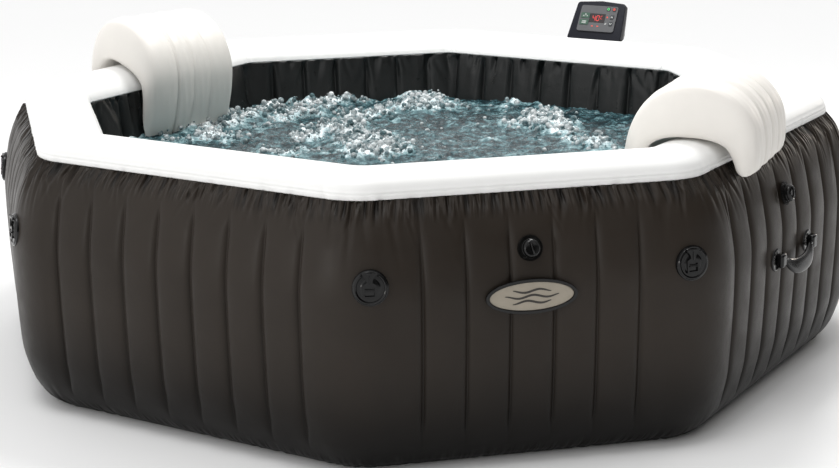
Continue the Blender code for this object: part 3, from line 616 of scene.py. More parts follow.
places, r_ = pick(640, 0.40, 0.22, 3)
folds = []
for u, d in places:
    big = r_.uniform() ** 2.4
    c = np.exp(-(d / 0.16) ** 2)
    folds.append((u, Z_RIM + 0.002, 0.015 + 0.044 * big * (0.6 + 0.7 * c), 0.0030 + 0.0032 * r_.uniform(),
                  0.0026 + 0.0046 * big * (0.7 + 0.6 * c), r_.normal() * 0.22, -1))
for i in range(8):                                            # long pleats that gather at the corners
    for j in range(4):
        folds.append((corner_u[i] + r_.normal() * 0.060, Z_RIM + 0.002, 0.045 + 0.035 * r_.uniform(), 0.0055 + 0.003 * r_.uniform(),
                      0.0035 + 0.0025 * r_.uniform(), r_.normal() * 0.10, -1))
places, r_ = pick(190, 0.93, 0.13, 5)
for u, d in places:
    folds.append((u, 0.0, 0.012 + 0.030 * r_.uniform() ** 2, 0.0055 + 0.004 * r_.uniform(),
                  0.0012 + 0.0028 * r_.uniform(), r_.normal() * 0.12, 1))
F = fold_field(U, TOT, zr, folds)
wave = np.zeros((len(zr), len(U)))
for i, z in enumerate(zr):                                    # slow unevenness of the skin
    if i % 3 == 0:
        prev = np.array([noise.noise(Vector((P0[j, 0] * 7, P0[j, 1] * 7, z * 5))) for j in range(len(U))])
        wave[i] = prev
    else:
        wave[i] = prev
for i in range(len(zr)):
    if i % 3:
        a, b = (i // 3) * 3, min(((i // 3) + 1) * 3, ((len(zr) - 1) // 3) * 3)
        f = 0 if a == b else (i - a) / (b - a)
        wave[i] = wave[a] * (1 - f) + wave[b] * f
env = np.clip((zr - 0.03) / 0.1, 0, 1) * np.clip((0.615 - zr) / 0.06, 0, 1)
rows = []
for i, z in enumerate(zr):
    P, Nn = loop_at(st, ins[i], corner_radius(ins[i]))
    g = np.clip((z - 0.050) / 0.060, 0, 1) * np.clip((0.592 - z) / 0.060, 0, 1)   # the welds end short of both edges
    off = bul[i] * (1 - g * (1 - lobe)) * amp + F[i] + wave[i] * 0.0014 * env[i]
    xy = P + Nn * off[:, None]
    rows.append(np.column_stack([xy, np.full(len(U), z)]))
# inner closure, plain
for z, i_ in ((Z_RIM - 0.0003, 0.0655), (0.40, 0.010), (0.07, 0.040), (0.0, 0.0825)):
    P, Nn = loop_at(st, i_, corner_radius(i_))
    rows.append(np.column_stack([P, np.full(len(U), z)]))
me = grid_mesh("outer_wall_skin", np.array(rows))
wall = new_obj("outer_wall_skin", me, WALL, "tub")
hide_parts("outer_wall")

# ------------------------------------------------------------------ inner wall
IN_TUB = [(0.0045, 0.2620), (0.10, 0.2680), (0.30, 0.2700), (0.45, 0.2620), (0.55, 0.2480), (Z_RIM - 0.0003, 0.2350)]
sti = stations(32, 8, 6)
zi = np.concatenate([np.linspace(0.0045, 0.40, 14), np.linspace(0.42, 0.54, 12), np.linspace(0.548, Z_RIM - 0.0003, 15)])
inn = smooth(zi, [r[0] for r in IN_TUB], [r[1] for r in IN_TUB])
Pi, _ = loop_at(sti, 0.26, 0.020)
Ui, TOTi = perimeter(Pi)
SDi = seam_distance(sti, Ui, TOTi)
li = sti[3]
rec = np.where(li >= 0, np.abs(2 * li - 1) ** 5.0, (1 - np.minimum(1, SDi / 0.045)) ** 5.0)
dep = smooth(zi, [0.0, 0.05, 0.30, 0.50, 0.57, 0.62], [0.0, 0.010, 0.014, 0.016, 0.012, 0.0])
cu_i = np.array([Ui[(sti[0] == i) & (sti[1] == 3)].mean() for i in range(8)])
fi = []
r_ = np.random.default_rng(12)
for u in r_.uniform(0, TOTi, 210):
    fi.append((u, Z_RIM, 0.020 + 0.060 * r_.uniform() ** 1.5, 0.006 + 0.007 * r_.uniform(), 0.003 + 0.006 * r_.uniform(),
               r_.normal() * 0.3, -1))
for u in Ui[li == 0.0]:
    fi.append((u, Z_RIM - 0.012, 0.070, 0.006, 0.004 + 0.004 * r_.uniform(), r_.normal() * 0.10, -1))
Fi = fold_field(Ui, TOTi, zi, fi)
rows = []
for i, z in enumerate(zi):
    P, Nn = loop_at(sti, inn[i], 0.020)
    off = dep[i] * rec * (1 + 0.25 * np.sin(Ui * 37.0)) + np.clip(-Fi[i], -0.0015, 0.03) * (z < Z_RIM - 0.001)
    rows.append(np.column_stack([P + Nn * off[:, None], np.full(len(Ui), z)]))
rows = rows[::-1]
for z, i_ in ((0.0045, 0.2580), (0.30, 0.2255), (0.50, 0.2175), (Z_RIM - 0.0003, 0.2305)):
    P, Nn = loop_at(sti, i_, 0.024)
    rows.append(np.column_stack([P, np.full(len(Ui), z)]))
me = grid_mesh("inner_liner_skin", np.array(rows))
liner = new_obj("inner_liner_skin", me, LINER, "tub")
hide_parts("inner_wall")

# ------------------------------------------------------------------ rim
RIM_PROF = [(0.0610, 0.6200), (0.0600, 0.6340), (0.0660, 0.6500), (0.0790, 0.6630), (0.1000, 0.6725),
            (0.1280, RIM_TOP), (0.1600, 0.6755), (0.1900, 0.6670), (0.2140, 0.6520), (0.2290, 0.6350), (0.2350, 0.6200)]
prof = catmull(RIM_PROF, 5)
# finer steps over the outer welded band
band = [np.array([np.interp(z, [0.6200, 0.6340, 0.6500], [0.0610, 0.0600, 0.0660]), z]) for z in np.linspace(0.6200, 0.6480, 15)]
prof = np.array(band + [p for p in prof if p[0] > 0.0662 or p[1] > 0.651])
tang = np.gradient(prof, axis=0)
tang /= np.linalg.norm(tang, axis=1)[:, None]
outn = np.column_stack([-tang[:, 1], tang[:, 0]])             # in (inset, z), pointing away from the body
s_ = np.concatenate([[0], np.cumsum(np.linalg.norm(np.diff(prof, axis=0), axis=1))])
ridge = np.zeros(len(prof))
ridge += 0.0011 * ((s_ > 0.0005) & (s_ < 0.0115))             # the welded band stands proud
ridge += -0.0019 * np.exp(-((s_ - 0.0135) / 0.0015) ** 2)     # groove above it
ridge += 0.0006 * np.exp(-((s_ - 0.0175) / 0.002) ** 2)
str_ = stations(12, 8, 22)


def rim_radius(i):
    return 0.1395 - 0.55 * (i - 0.06)


Pr, _ = loop_at(str_, 0.07, rim_radius(0.07))
Ur, TOTr = perimeter(Pr)
cu_r = np.array([Ur[(str_[0] == i) & (str_[1] == 3)].mean() for i in range(8)])
r_ = np.random.default_rng(21)
fr = []
for _ in range(240):
    u = r_.uniform(0, TOTr)
    d = np.abs(u - cu_r)
    d = np.minimum(d, TOTr - d).min()
    if r_.uniform() > 0.35 + 0.65 * np.exp(-(d / 0.2) ** 2):
        continue
    fr.append((u, 0.0, 0.008 + 0.018 * r_.uniform() ** 2, 0.0050 + 0.006 * r_.uniform(), 0.0009 + 0.0020 * r_.uniform(),
               r_.normal() * 0.2, 1))
for _ in range(90):
    u = r_.uniform(0, TOTr)
    fr.append((u, s_[-1], 0.012 + 0.020 * r_.uniform() ** 2, 0.007 + 0.006 * r_.uniform(),
               0.0006 + 0.0014 * r_.uniform(), r_.normal() * 0.2, -1))
Fr = fold_field(Ur, TOTr, s_, fr)
rows = []
for i in range(len(prof)):
    P, Nn = loop_at(str_, prof[i, 0], rim_radius(prof[i, 0]))
    off = ridge[i] + Fr[i] * (0.25 if i == 0 or i == len(prof) - 1 else 1.0)
    xy = P - Nn * (outn[i, 0] * off)[:, None]
    rows.append(np.column_stack([xy, prof[i, 1] + outn[i, 1] * off]))
for i_, z in ((0.2310, 0.6200), (0.2080, 0.6480), (0.1590, 0.6710), (0.1030, 0.6680), (0.0700, 0.6480), (0.0650, 0.6200)):
    P, Nn = loop_at(str_, i_, rim_radius(i_))
    rows.append(np.column_stack([P, np.full(len(Ur), z)]))
me = grid_mesh("rim_skin", np.array(rows))
rim = new_obj("rim_skin", me, RIM, "tub")
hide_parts("top_rim")

# ------------------------------------------------------------------ headrests
RIM_SECTION = [(0.7925, 0.400), (0.8020, 0.500), (0.8080, 0.560), (0.8200, 0.605), (0.8276, 0.622), (0.8336, 0.635),
               (0.8486, 0.652), (0.8726, 0.667), (0.9026, 0.6755), (0.9346, 0.677), (0.9626, 0.6725),
               (0.9836, 0.663), (0.9966, 0.650), (1.0026, 0.634), (1.0035, 0.620), (1.0163, 0.603), (1.0306, 0.585)]
HR_CLEAR, HR_EYE, HR_PIVOT = 0.0042, (0.915, 0.600), 0.650
# outer line from the leg in the tub over the crown to the outside tip, and the inner line in the same direction
OUTER = [(-0.136, 0.4850), (-0.147, 0.4872), (-0.155, 0.4950), (-0.160, 0.520), (-0.162, 0.580), (-0.155, 0.650), (-0.138, 0.715),
         (-0.105, 0.765), (-0.060, 0.797), (-0.005, 0.812), (0.050, 0.808), (0.100, 0.788), (0.135, 0.755),
         (0.155, 0.715), (0.162, 0.675), (0.1625, 0.645), (0.160, 0.622), (0.152, 0.607), (0.138, 0.6020)]
INNER = [(-0.136, 0.4850), (-0.129, 0.4880), (-0.125, 0.496), (-0.122, 0.530), (-0.120, 0.560), (-0.115, 0.600), (-0.103, 0.640),
         (-0.085, 0.666), (-0.045, 0.682), (0.010, 0.6845), (0.055, 0.680), (0.085, 0.668), (0.100, 0.650),
         (0.109, 0.630), (0.115, 0.613), (0.124, 0.6040), (0.138, 0.6020)]
RING = [(atan2(p - HR_EYE[0], q - HR_EYE[1]), sqrt((p - HR_EYE[0]) ** 2 + (q - HR_EYE[1]) ** 2)) for p, q in RIM_SECTION]


def hr_push(d, z):
    """A headrest point pushed out of the rim's section, along a ray, and level where it is beside the liner."""
    if z < 0.560 and d < HR_EYE[0]:
        return min(d, 0.8080 - 0.105 * (0.560 - z) - HR_CLEAR), z
    x, y = d - HR_EYE[0], z - HR_EYE[1]
    r, a = sqrt(x * x + y * y), atan2(x, y)
    if not RING[0][0] < a < RING[-1][0]:
        return d, z
    need = float(np.interp(a, [v[0] for v in RING], [v[1] for v in RING])) + HR_CLEAR
    if r >= need:
        return d, z
    return HR_EYE[0] + x * need / r, HR_EYE[1] + y * need / r


def along(curve, a):
    seg = np.linalg.norm(np.diff(curve, axis=0), axis=1)
    s = np.concatenate([[0], np.cumsum(seg)])
    s /= s[-1]
    return np.column_stack([np.interp(a, s, curve[:, 0]), np.interp(a, s, curve[:, 1])])


def headrest(name, side, d_mid, t0, t1, yaw, near_plus, widths, roll_deg=0.0, lift=0.0):
    n, t = n_of(side), t_of(side)
    ca, sa = cos(radians(yaw)), sin(radians(yaw))
    cr, sr = cos(radians(roll_deg)), sin(radians(roll_deg))

    def put(off_t, o, z, push=True):
        o, z = o * cr - (z - HR_PIVOT) * sr, o * sr + (z - HR_PIVOT) * cr + HR_PIVOT + lift
        p = cm + tt * off_t + nn * o
        if push:
            d, z = hr_push(p.dot(n), z)
            p = p + n * (d - p.dot(n))
        return (p.x, p.y, z)

    tt, nn = t * ca - n * sa, n * ca + t * sa
    L = t1 - t0
    cm = n * d_mid + t * ((t0 + t1) / 2)
    A = np.concatenate([[0, 0.004, 0.012, 0.025], np.linspace(0.04, 0.96, 70), [0.975, 0.988, 0.996, 1.0]])
    O = along(catmull(OUTER, 10), A)
    I = along(catmull(INNER, 10), A)
    # cross-section, as (position across, share of the thickness, sideways bulge)
    w = np.array(widths, float) / sum(widths)
    if near_plus:
        w = w[::-1]
    edges = np.concatenate([[0], np.cumsum(w)])
    cross = []                                       # (f across 0..1, h share, drop below the crest in metres, side)
    r0 = 0.018
    for e in range(4):
        a, b = edges[e], edges[e + 1]
        m = 15
        for j in range(m if e < 3 else m + 1):
            s = j / m
            c = 1 - (2 * s - 1) ** 2
            crest = c ** 0.42
            deep = 0.012 * (b - a) * 4 * 0.9
            deep = min(0.0145, max(0.0085, deep))
            cross.append((a + (b - a) * s, 1.0, deep * (1 - crest), 0.0))
    side_rows = 9
    for j in range(1, side_rows):
        h = 1 - j / side_rows
        cross.append((1.0, h, 0.0, (h * (1 - h)) ** 0.7 * 4 ** 0.7 * 0.010))
    for j in range(0, 13):
        cross.append((1 - j / 12, 0.0, 0.0, 0.0))
    for j in range(1, side_rows):
        h = j / side_rows
        cross.append((0.0, h, 0.0, (h * (1 - h)) ** 0.7 * 4 ** 0.7 * 0.010))
    cross = np.array(cross)
    taper = np.clip(np.minimum(A / 0.05, (1 - A) / 0.05), 0, 1)
    rows = []
    rr_ = np.random.default_rng(31 + int(near_plus))
    ph = rr_.uniform(0, 6.28, 8)
    for ia, a in enumerate(A):
        o, i = O[ia], I[ia]
        v = o - i
        th = np.linalg.norm(v)
        vn = v / th if th > 1e-6 else np.array([0.0, 0.0])
        row = []
        for f, h, drop, puff in cross:
            k = min(1.0, th / 0.030)
            dd = min(drop * k, th * 0.55)
            base_h = h
            if h < 1.0 and h > 0.0:
                dd = 0.020 * k * h * 0.9
            q = i + v * base_h - vn * dd * (1.0 if h > 0 else 0.0)
            edge = 0.0
            if puff > 0:
                edge = puff * k
            # lobe ends draw back at the two tips
            pull = (1 - taper[ia]) * 0.006
            off_t = (f - 0.5) * (L - 2 * 0.011 - 2 * pull)
            off_t += (1 if f > 0.5 else -1) * edge if (f in (0.0, 1.0)) else 0.0
            wr = 0.0007 * sin(f * 55 + a * 9 + ph[0]) * sin(a * 38 + ph[1]) + 0.0006 * sin(f * 90 - a * 24 + ph[2])
            if h == 1.0:
                q = q + vn * wr * k
            row.append(put(off_t, q[0], q[1]))
        rows.append(row)
    rows = np.array(rows)
    me = grid_mesh(name + "_cushion", rows, wrap_v=False)
    m = len(cross)
    cap_ends(me, [list(range(m)), list(range((len(A) - 1) * m, len(A) * m))])
    bm = bmesh.new()
    bm.from_mesh(me)
    bmesh.ops.remove_doubles(bm, verts=bm.verts, dist=0.00005)
    bmesh.ops.dissolve_degenerate(bm, dist=0.00002, edges=bm.edges)
    bmesh.ops.recalc_face_normals(bm, faces=bm.faces)
    bm.to_mesh(me)
    bm.free()
    ob = new_obj(name + "_cushion", me, CREAM, name)
    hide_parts(name)
    # welded flange that runs along both side panels' outer edge
    for tag, f in (("a", 0.0), ("b", 1.0)):
        pts = []
        for ia in range(3, len(A) - 3):
            o, i = O[ia], I[ia]
            v = o - i
            th = np.linalg.norm(v)
            vn = v / th
            k = min(1.0, th / 0.030)
            pull = (1 - taper[ia]) * 0.006
            q = o - vn * min(0.0215 * k, th * 0.5)
            pts.append(put((f - 0.5) * (L - 2 * 0.0105 - 2 * pull), q[0], q[1]))
        up_ = tt * (1 if f else -1)
        rod("%s_weld_%s" % (name, tag), pts, 0.0016, CREAM, None, name, sides=8, flat=1.0, up=tuple(up_))
    return ob


W4 = (0.136, 0.082, 0.089, 0.122)
headrest("left_headrest", "BL", 0.862, -0.150, 0.163, -14.0, True, W4, 18.0, 0.002)
headrest("right_headrest", "FR", 0.908, -0.335, 0.010, 8.5, False, W4)

# ------------------------------------------------------------------ badge
M = frame_on("F", -0.0085, 0.4015, A_MAIN + 0.0150)
prism("badge_frame", ellipse(0.1045, 0.0395, 96), 0.0, 0.0070, BLACK, M, "tub", 0.0016, 3, holes=[ellipse(0.0965, 0.0325, 96)])
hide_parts("badge_bezel")
prism("badge_face", ellipse(0.0960, 0.0320, 96), 0.0, 0.0045, PLATE, M, "tub", 0.0008, 2)
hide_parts("badge_plate")


def ribbon(name, pts, half, z0, z1, material, matrix, body):
    """Flat strip of changing width along a plane line, as a thin solid."""
    p = np.asarray(pts, float)
    d = np.gradient(p, axis=0)
    d /= np.linalg.norm(d, axis=1)[:, None]
    nrm = np.column_stack([-d[:, 1], d[:, 0]])
    hw = np.asarray(half, float)[:, None]
    outline = np.concatenate([p + nrm * hw, (p - nrm * hw)[::-1]])
    return prism(name, [tuple(q) for q in outline], z0, z1, material, matrix, body)


for i, (y, l, ph) in enumerate(((0.0125, 0.044, 0.0), (0.0, 0.062, 1.3), (-0.0125, 0.044, 2.6))):
    x = np.linspace(-l, l, 60)
    yy = y + 0.0032 * np.sin(x / 0.0065 * 0.62 + ph)
    ribbon("badge_wave_%d" % (i + 1), np.column_stack([x, yy]), 0.0004 + 0.0021 * np.sqrt(np.clip(1 - (x / l) ** 2, 0, 1)),
           0.0046, 0.0051, MARK, M, "tub")

# ------------------------------------------------------------------ air valves and drain
for who, side, t_, z_, turn_ in (("front", "F", -0.008, 0.506, 12.0), ("right", "FR", -0.029, 0.507, -20.0)):
    M = frame_on(side, t_, z_, apothem(side) + 0.0005, tilt=13.0)
    lathe(who + "_valve_flange", [(0.0, 0.0028), (0.0195, 0.0030), (0.0205, 0.0046), (0.0225, 0.0046), (0.0235, 0.0030),
                                  (0.0262, 0.0027), (0.0270, 0.0034), (0.0278, 0.0027), (0.0285, 0.0018), (0.0287, 0.0),
                                  (0.0, -0.002)], WALL, M, "tub")
    lathe(who + "_valve_collar", [(0.0165, 0.0030), (0.0165, 0.0095), (0.0178, 0.0108), (0.0200, 0.0104), (0.0212, 0.0090),
                                  (0.0214, 0.0030)], BLACK, M, "tub")
    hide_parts(who + "_valve_seat")
    cap = lathe(who + "_valve_top", [(0.0, 0.0176), (0.0120, 0.0176), (0.0138, 0.0182), (0.0146, 0.0200), (0.0160, 0.0208),
                                     (0.0180, 0.0196), (0.0198, 0.0168), (0.0208, 0.0134), (0.0208, 0.0114), (0.0, 0.0114)],
                BLACK, M, who + "_valve_cap")
    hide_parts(who + "_valve_cap")
    T = M @ Matrix.Rotation(radians(turn_), 4, "Z")
    x = np.linspace(-0.0128, 0.0128, 13)
    rod(who + "_valve_grip", [(0.0, v, 0.0176 + 0.0038 * max(0.0, 1 - (v / 0.0132) ** 2) ** 0.5) for v in x], 0.0026, BLACK, T,
        who + "_valve_cap", sides=10)
    rod(who + "_valve_tether", catmull([(0.0205, 0.0, 0.013), (0.0250, 0.0, 0.0100), (0.0262, -0.0015, 0.0052), (0.0255, -0.0030, 0.0030)], 6),
        0.0012, BLACKM, M @ Matrix.Rotation(radians(-125), 4, "Z"), "tub", sides=8, up=(0, 1, 0))

M = frame_on("B", 0.0, 0.090, A_MAIN - 0.0045, tilt=-12.0)
lathe("drain_flange", [(0.0, 0.0040), (0.0225, 0.0036), (0.0262, 0.0044), (0.0285, 0.0030), (0.0305, 0.0), (0.0, -0.004)], BLACKM, M,
      "tub")
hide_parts("drain_outlet")
bm = bmesh.new()
N_ = 72
ringz = [(0.0, 0.0, 0.0082), (1, 0.0185, 0.0082), (1, 0.0200, 0.0092), (1, 0.0200, 0.0250), (1, 0.0186, 0.0270), (0.0, 0.0, 0.0270)]
prev_ = None
for kind_, r, z in ringz:
    if kind_ == 0.0:
        cur = [bm.verts.new((0, 0, z))]
    else:
        cur = [bm.verts.new(((r - (0.0007 if (k % 4) < 2 and r > 0.0195 else 0)) * cos(2 * pi * k / N_),
                             (r - (0.0007 if (k % 4) < 2 and r > 0.0195 else 0)) * sin(2 * pi * k / N_), z)) for k in range(N_)]
    if prev_:
        for k in range(N_):
            k2 = (k + 1) % N_
            if len(prev_) == 1:
                bm.faces.new((prev_[0], cur[k], cur[k2]))
            elif len(cur) == 1:
                bm.faces.new((prev_[k], prev_[k2], cur[0]))
            else:
                bm.faces.new((prev_[k], prev_[k2], cur[k2], cur[k]))
    prev_ = cur
dc = bm_obj("drain_cap_top", bm, BLACK, "drain_cap", M, 30)
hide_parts("drain_cap")

# ------------------------------------------------------------------ cover locks
LOCKS = [("F", -1), ("F", 1), ("R", -1), ("R", 1), ("B", -1), ("B", 1), ("L", -1), ("L", 1)]
for i, (side, sgn) in enumerate(LOCKS):
    k = i + 1
    M = lock_frame(side, sgn, 0.0155)
    disc = lathe("lock_disc_%d" % k, [(0.0, 0.0046), (0.0185, 0.0046), (0.0205, 0.0040), (0.0225, 0.0026), (0.0300, 0.0023),
                                      (0.0312, 0.0036), (0.0335, 0.0046), (0.0358, 0.0040), (0.0372, 0.0022), (0.0395, 0.0012),
                                      (0.0402, -0.0006), (0.0402, -0.0050), (0.0, -0.0050)], BLACK, M, "tub", steps=64)
    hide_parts("lock_patch_%d" % k)
    # two ears with the pin line that the buckle hangs from
    for tag, x in (("a", -0.0196), ("b", 0.0176)):
        rod("lock_ear_%d%s" % (k, tag), [(x, 0.028, 0.003), (x, 0.0320, 0.0078), (x, 0.0325, 0.0092)], 0.0022, BLACK, M, "tub",
            sides=10, up=(1, 0, 0))
    P = M @ Matrix.Translation((-0.002, 0.018, 0.0056))
    out = [(-0.0062, -0.0052), (-0.0070, 0.0005), (-0.0100, 0.0058), (-0.0150, 0.0108), (-0.0165, 0.0128), (-0.0160, 0.0146),
           (-0.0145, 0.0150), (0.0145, 0.0150), (0.0160, 0.0146), (0.0165, 0.0128), (0.0150, 0.0108), (0.0100, 0.0058),
           (0.0070, 0.0005), (0.0062, -0.0052), (0.0110, -0.0076), (0.0146, -0.0105), (0.0152, -0.0140), (0.0152, -0.0370),
           (0.0140, -0.0394), (0.0115, -0.0400), (-0.0115, -0.0400), (-0.0140, -0.0394), (-0.0152, -0.0370), (-0.0152, -0.0140),
           (-0.0146, -0.0105), (-0.0110, -0.0076)]
    b = prism("lock_clip_%d" % k, out, 0.0, 0.0028, BLACK, P, "lock_buckle_%d" % k, 0.0007, 2,
              holes=[round_rect(0.0105, 0.0020, 0.0008, 3, 0.0, -0.0180), round_rect(0.0105, 0.0050, 0.0010, 3, 0.0, -0.0300)])
    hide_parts("lock_buckle_%d" % k)
    rod("lock_clip_bar_%d" % k, [(-0.0112, -0.0228, 0.0030), (0.0, -0.0228, 0.0034), (0.0112, -0.0228, 0.0030)], 0.0015, BLACK, P,
        "lock_buckle_%d" % k, sides=10)
    rod("lock_clip_pin_%d" % k, [(-0.0172, 0.0135, 0.0014), (0.0172, 0.0135, 0.0014)], 0.0021, BLACK, P, "lock_buckle_%d" % k, sides=12)
    rod("lock_clip_rib_%d" % k, [(0.0, 0.0100, 0.0030), (0.0, 0.0, 0.0036), (0.0, -0.0100, 0.0030)], 0.0013, BLACK, P,
        "lock_buckle_%d" % k, sides=8)

# ------------------------------------------------------------------ carry handles
for who, side in (("right", "FR"), ("left", "BL")):
    off = apothem(side) + 0.0150
    for end, s in (("a", -1), ("b", 1)):
        M = frame_on(side, s * 0.105, 0.360, off + 0.0110)
        bm = bmesh.new()
        bmesh.ops.create_cube(bm, size=1.0)
        bmesh.ops.scale(bm, verts=bm.verts, vec=(0.0290, 0.0350, 0.0200))
        a = bm_obj("%s_anchor_%s" % (who, end), bm, BLACK, "tub", M, 40, bevel=0.0065, segs=4)
        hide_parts("%s_handle_anchor_%s" % (who, end))
        lathe("%s_anchor_foot_%s" % (who, end), [(0.0, 0.0010), (0.0215, 0.0008), (0.0245, 0.0018), (0.0275, 0.0006), (0.0285, -0.0018), (0.0, -0.0040)],
              BLACK, frame_on(side, s * 0.105, 0.360, off - 0.0010), "tub")
    G = frame_on(side, 0.0, 0.360, off + 0.0130)
    u = np.linspace(-1, 1, 41)
    path = np.column_stack([0.0885 * u, -0.030 * (1 - np.abs(u) ** 3.0), 0.013 * (1 - np.abs(u) ** 2.5)])
    # a wide strap-like grip: its section is turned so that the broad face looks out and up
    wdt = 0.0070 + 0.0120 * (1 - np.abs(u) ** 4)
    rows = []
    for i in range(len(u)):
        d = path[min(i + 1, 40)] - path[max(i - 1, 0)]
        d /= np.linalg.norm(d)
        z_ = np.array([0, 0, 1.0])
        y_ = np.cross(z_, d)
        y_ /= np.linalg.norm(y_)
        lean = radians(18)
        b1 = y_ * cos(lean) - z_ * sin(lean)
        b2 = z_ * cos(lean) + y_ * sin(lean)
        a_ = np.linspace(0, 2 * pi, 28, endpoint=False)
        ca_, sa_ = np.cos(a_), np.sin(a_)
        sq = (np.abs(ca_) ** 3.2 + np.abs(sa_) ** 3.2) ** (-1 / 3.2)
        th = 0.0052
        rows.append(path[i] + np.outer(ca_ * sq * wdt[i], b1) + np.outer(sa_ * sq * th, b2))
    me = grid_mesh("%s_grip_band" % who, np.array(rows), wrap_v=False)
    cap_ends(me, [list(range(28)), list(range(40 * 28, 41 * 28))])
    g = new_obj("%s_grip_band" % who, me, BLACK, "%s_handle_grip" % who, G, True, 50)
    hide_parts("%s_handle_grip" % who)
    for tag, sgn in (("a", -1), ("b", 1)):
        rod("%s_grip_pin_%s" % (who, tag), [(sgn * 0.080, 0, 0), (sgn * 0.0895, 0, 0)], 0.0066, BLACK, G, "%s_handle_grip" % who, sides=20, up=(0, 0, 1))

# ------------------------------------------------------------------ control panel
nb, tb = n_of("BR"), t_of("BR")
pz = (-nb * cos(radians(30)) + Vector((0, 0, 1)) * sin(radians(30)))
px = -tb
py = pz.cross(px)
PH = 0.130
PANEL = Matrix((px, py, pz)).transposed().to_4x4()
PANEL.translation = nb * 1.090 + Vector((0, 0, 0.6480)) + py * (PH / 2)
layers = [(0.0000, 0.0030), (-0.0006, 0.0012), (-0.0022, 0.0), (-0.0100, 0.0), (-0.0185, 0.0), (-0.0260, 0.0010), (-0.0340, 0.0020),
          (-0.0420, 0.0030), (-0.0500, 0.0045), (-0.0560, 0.0075)]
rows = []
for z, inset_ in layers:
    d = -z
    ylo = np.interp(d, [0, 0.044, 0.060], [-0.065, -0.0477, -0.015]) + inset_
    yhi = np.interp(d, [0, 0.020, 0.060], [0.065, 0.0645, -0.015]) - inset_
    yhi = max(yhi, ylo + 0.006)
    pts = []
    r = min(0.010, (yhi - ylo) * 0.45)

    def hw(y):
        return np.interp(y, [-0.065, 0.065], [0.0930, 0.0840]) - inset_ - max(0.0, d - 0.02) * 0.18
    top = np.linspace(-1, 1, 15)[::-1]
    crown = 0.0055 if d <= 0.021 else 0.0055 * max(0.0, 1 - (d - 0.021) / 0.03)
    for cx_, cy_, a0 in ((hw(yhi) - r, yhi - r, 0), (None, None, None), (-(hw(yhi) - r), yhi - r, 90), (-(hw(ylo) - r), ylo + r, 180),
                         (hw(ylo) - r, ylo + r, 270)):
        if cx_ is None:
            for k in range(1, 8):
                x_ = (hw(yhi) - r) * (1 - 2 * k / 8)
                pts.append((x_, yhi + crown * (1 - abs(x_) / (hw(yhi) - r)), z))
            continue
        for k in range(7):
            a = radians(a0 + 15 * k)
            pts.append((cx_ + r * cos(a), cy_ + r * sin(a), z))
    rows.append(pts)
me = grid_mesh("panel_housing", np.array(rows), wrap_v=False)
nn_ = len(rows[0])
cap_ends(me, [list(range(nn_)), list(range((len(rows) - 1) * nn_, len(rows) * nn_))])
ph_ = new_obj("panel_housing", me, NAVY, "control_panel", PANEL, True, 32)
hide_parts("panel_shell")
FW, FH, FY = 0.0640, 0.0435, 0.008


def fuv(u, v):
    return (-FW + 2 * FW * u, FY + FH - 2 * FH * v)


def seg_digit(name, cx_, cy_, h, on, material, matrix, body, z0=0.0040, z1=0.0044):
    w, th = h * 0.52, h * 0.085
    segs = {"a": (0, h / 2, 1), "g": (0, 0, 1), "d": (0, -h / 2, 1), "f": (-w / 2, h / 4, 0), "b": (w / 2, h / 4, 0),
            "e": (-w / 2, -h / 4, 0), "c": (w / 2, -h / 4, 0)}
    bm = bmesh.new()
    for s in on:
        x, y, hor = segs[s]
        lx, ly = (w / 2 - th * 0.35, th / 2) if hor else (th / 2, h / 4 - th * 0.35)
        if hor:
            o = [(-lx, 0), (-lx + ly, ly), (lx - ly, ly), (lx, 0), (lx - ly, -ly), (-lx + ly, -ly)]
        else:
            o = [(0, -ly), (lx, -ly + lx), (lx, ly - lx), (0, ly), (-lx, ly - lx), (-lx, -ly + lx)]
        lo = [bm.verts.new((cx_ + x + a, cy_ + y + b, z0)) for a, b in o]
        hi = [bm.verts.new((cx_ + x + a, cy_ + y + b, z1)) for a, b in o]
        bm.faces.new(lo), bm.faces.new(hi)
        for k in range(6):
            bm.faces.new((lo[k], lo[(k + 1) % 6], hi[(k + 1) % 6], hi[k]))
    return bm_obj(name, bm, material, body, matrix)


cx, cy = fuv(0.495, 0.485)
seg_digit("digit_tens", cx - 0.0115, cy, 0.0170, "bcfg", DIGIT, PANEL, "control_panel")
seg_digit("digit_units", cx + 0.0015, cy, 0.0170, "abcdef", DIGIT, PANEL, "control_panel")
seg_digit("digit_degree", cx + 0.0140, cy + 0.0030, 0.0100, "adef", DIGIT, PANEL, "control_panel")


def ring_icon(name, u, v, r, w, material, z0, z1, gap=True, body="control_panel"):
    cx_, cy_ = fuv(u, v)
    a = np.linspace(radians(120 if gap else 90), radians(420 if gap else 450), 40)
    p = np.column_stack([cx_ + r * np.cos(a), cy_ + r * np.sin(a)])
    if gap:
        ribbon(name, p, np.full(40, w / 2), z0, z1, material, PANEL, body)
    else:
        prism(name, ellipse(r + w / 2, r + w / 2, 32, cx_, cy_), z0, z1, material, PANEL, body,
              holes=[ellipse(r - w / 2, r - w / 2, 32, cx_, cy_)])


def bar_icon(name, u, v, dx, dy, w, h, material, z0, z1, body, ang=0.0):
    cx_, cy_ = fuv(u, v)
    c, s = cos(radians(ang)), sin(radians(ang))
    pts = [(cx_ + dx + x * c - y * s, cy_ + dy + x * s + y * c) for x, y in round_rect(w / 2, h / 2, min(w, h) * 0.3, 2)]
    prism(name, pts, z0, z1, material, PANEL, body)


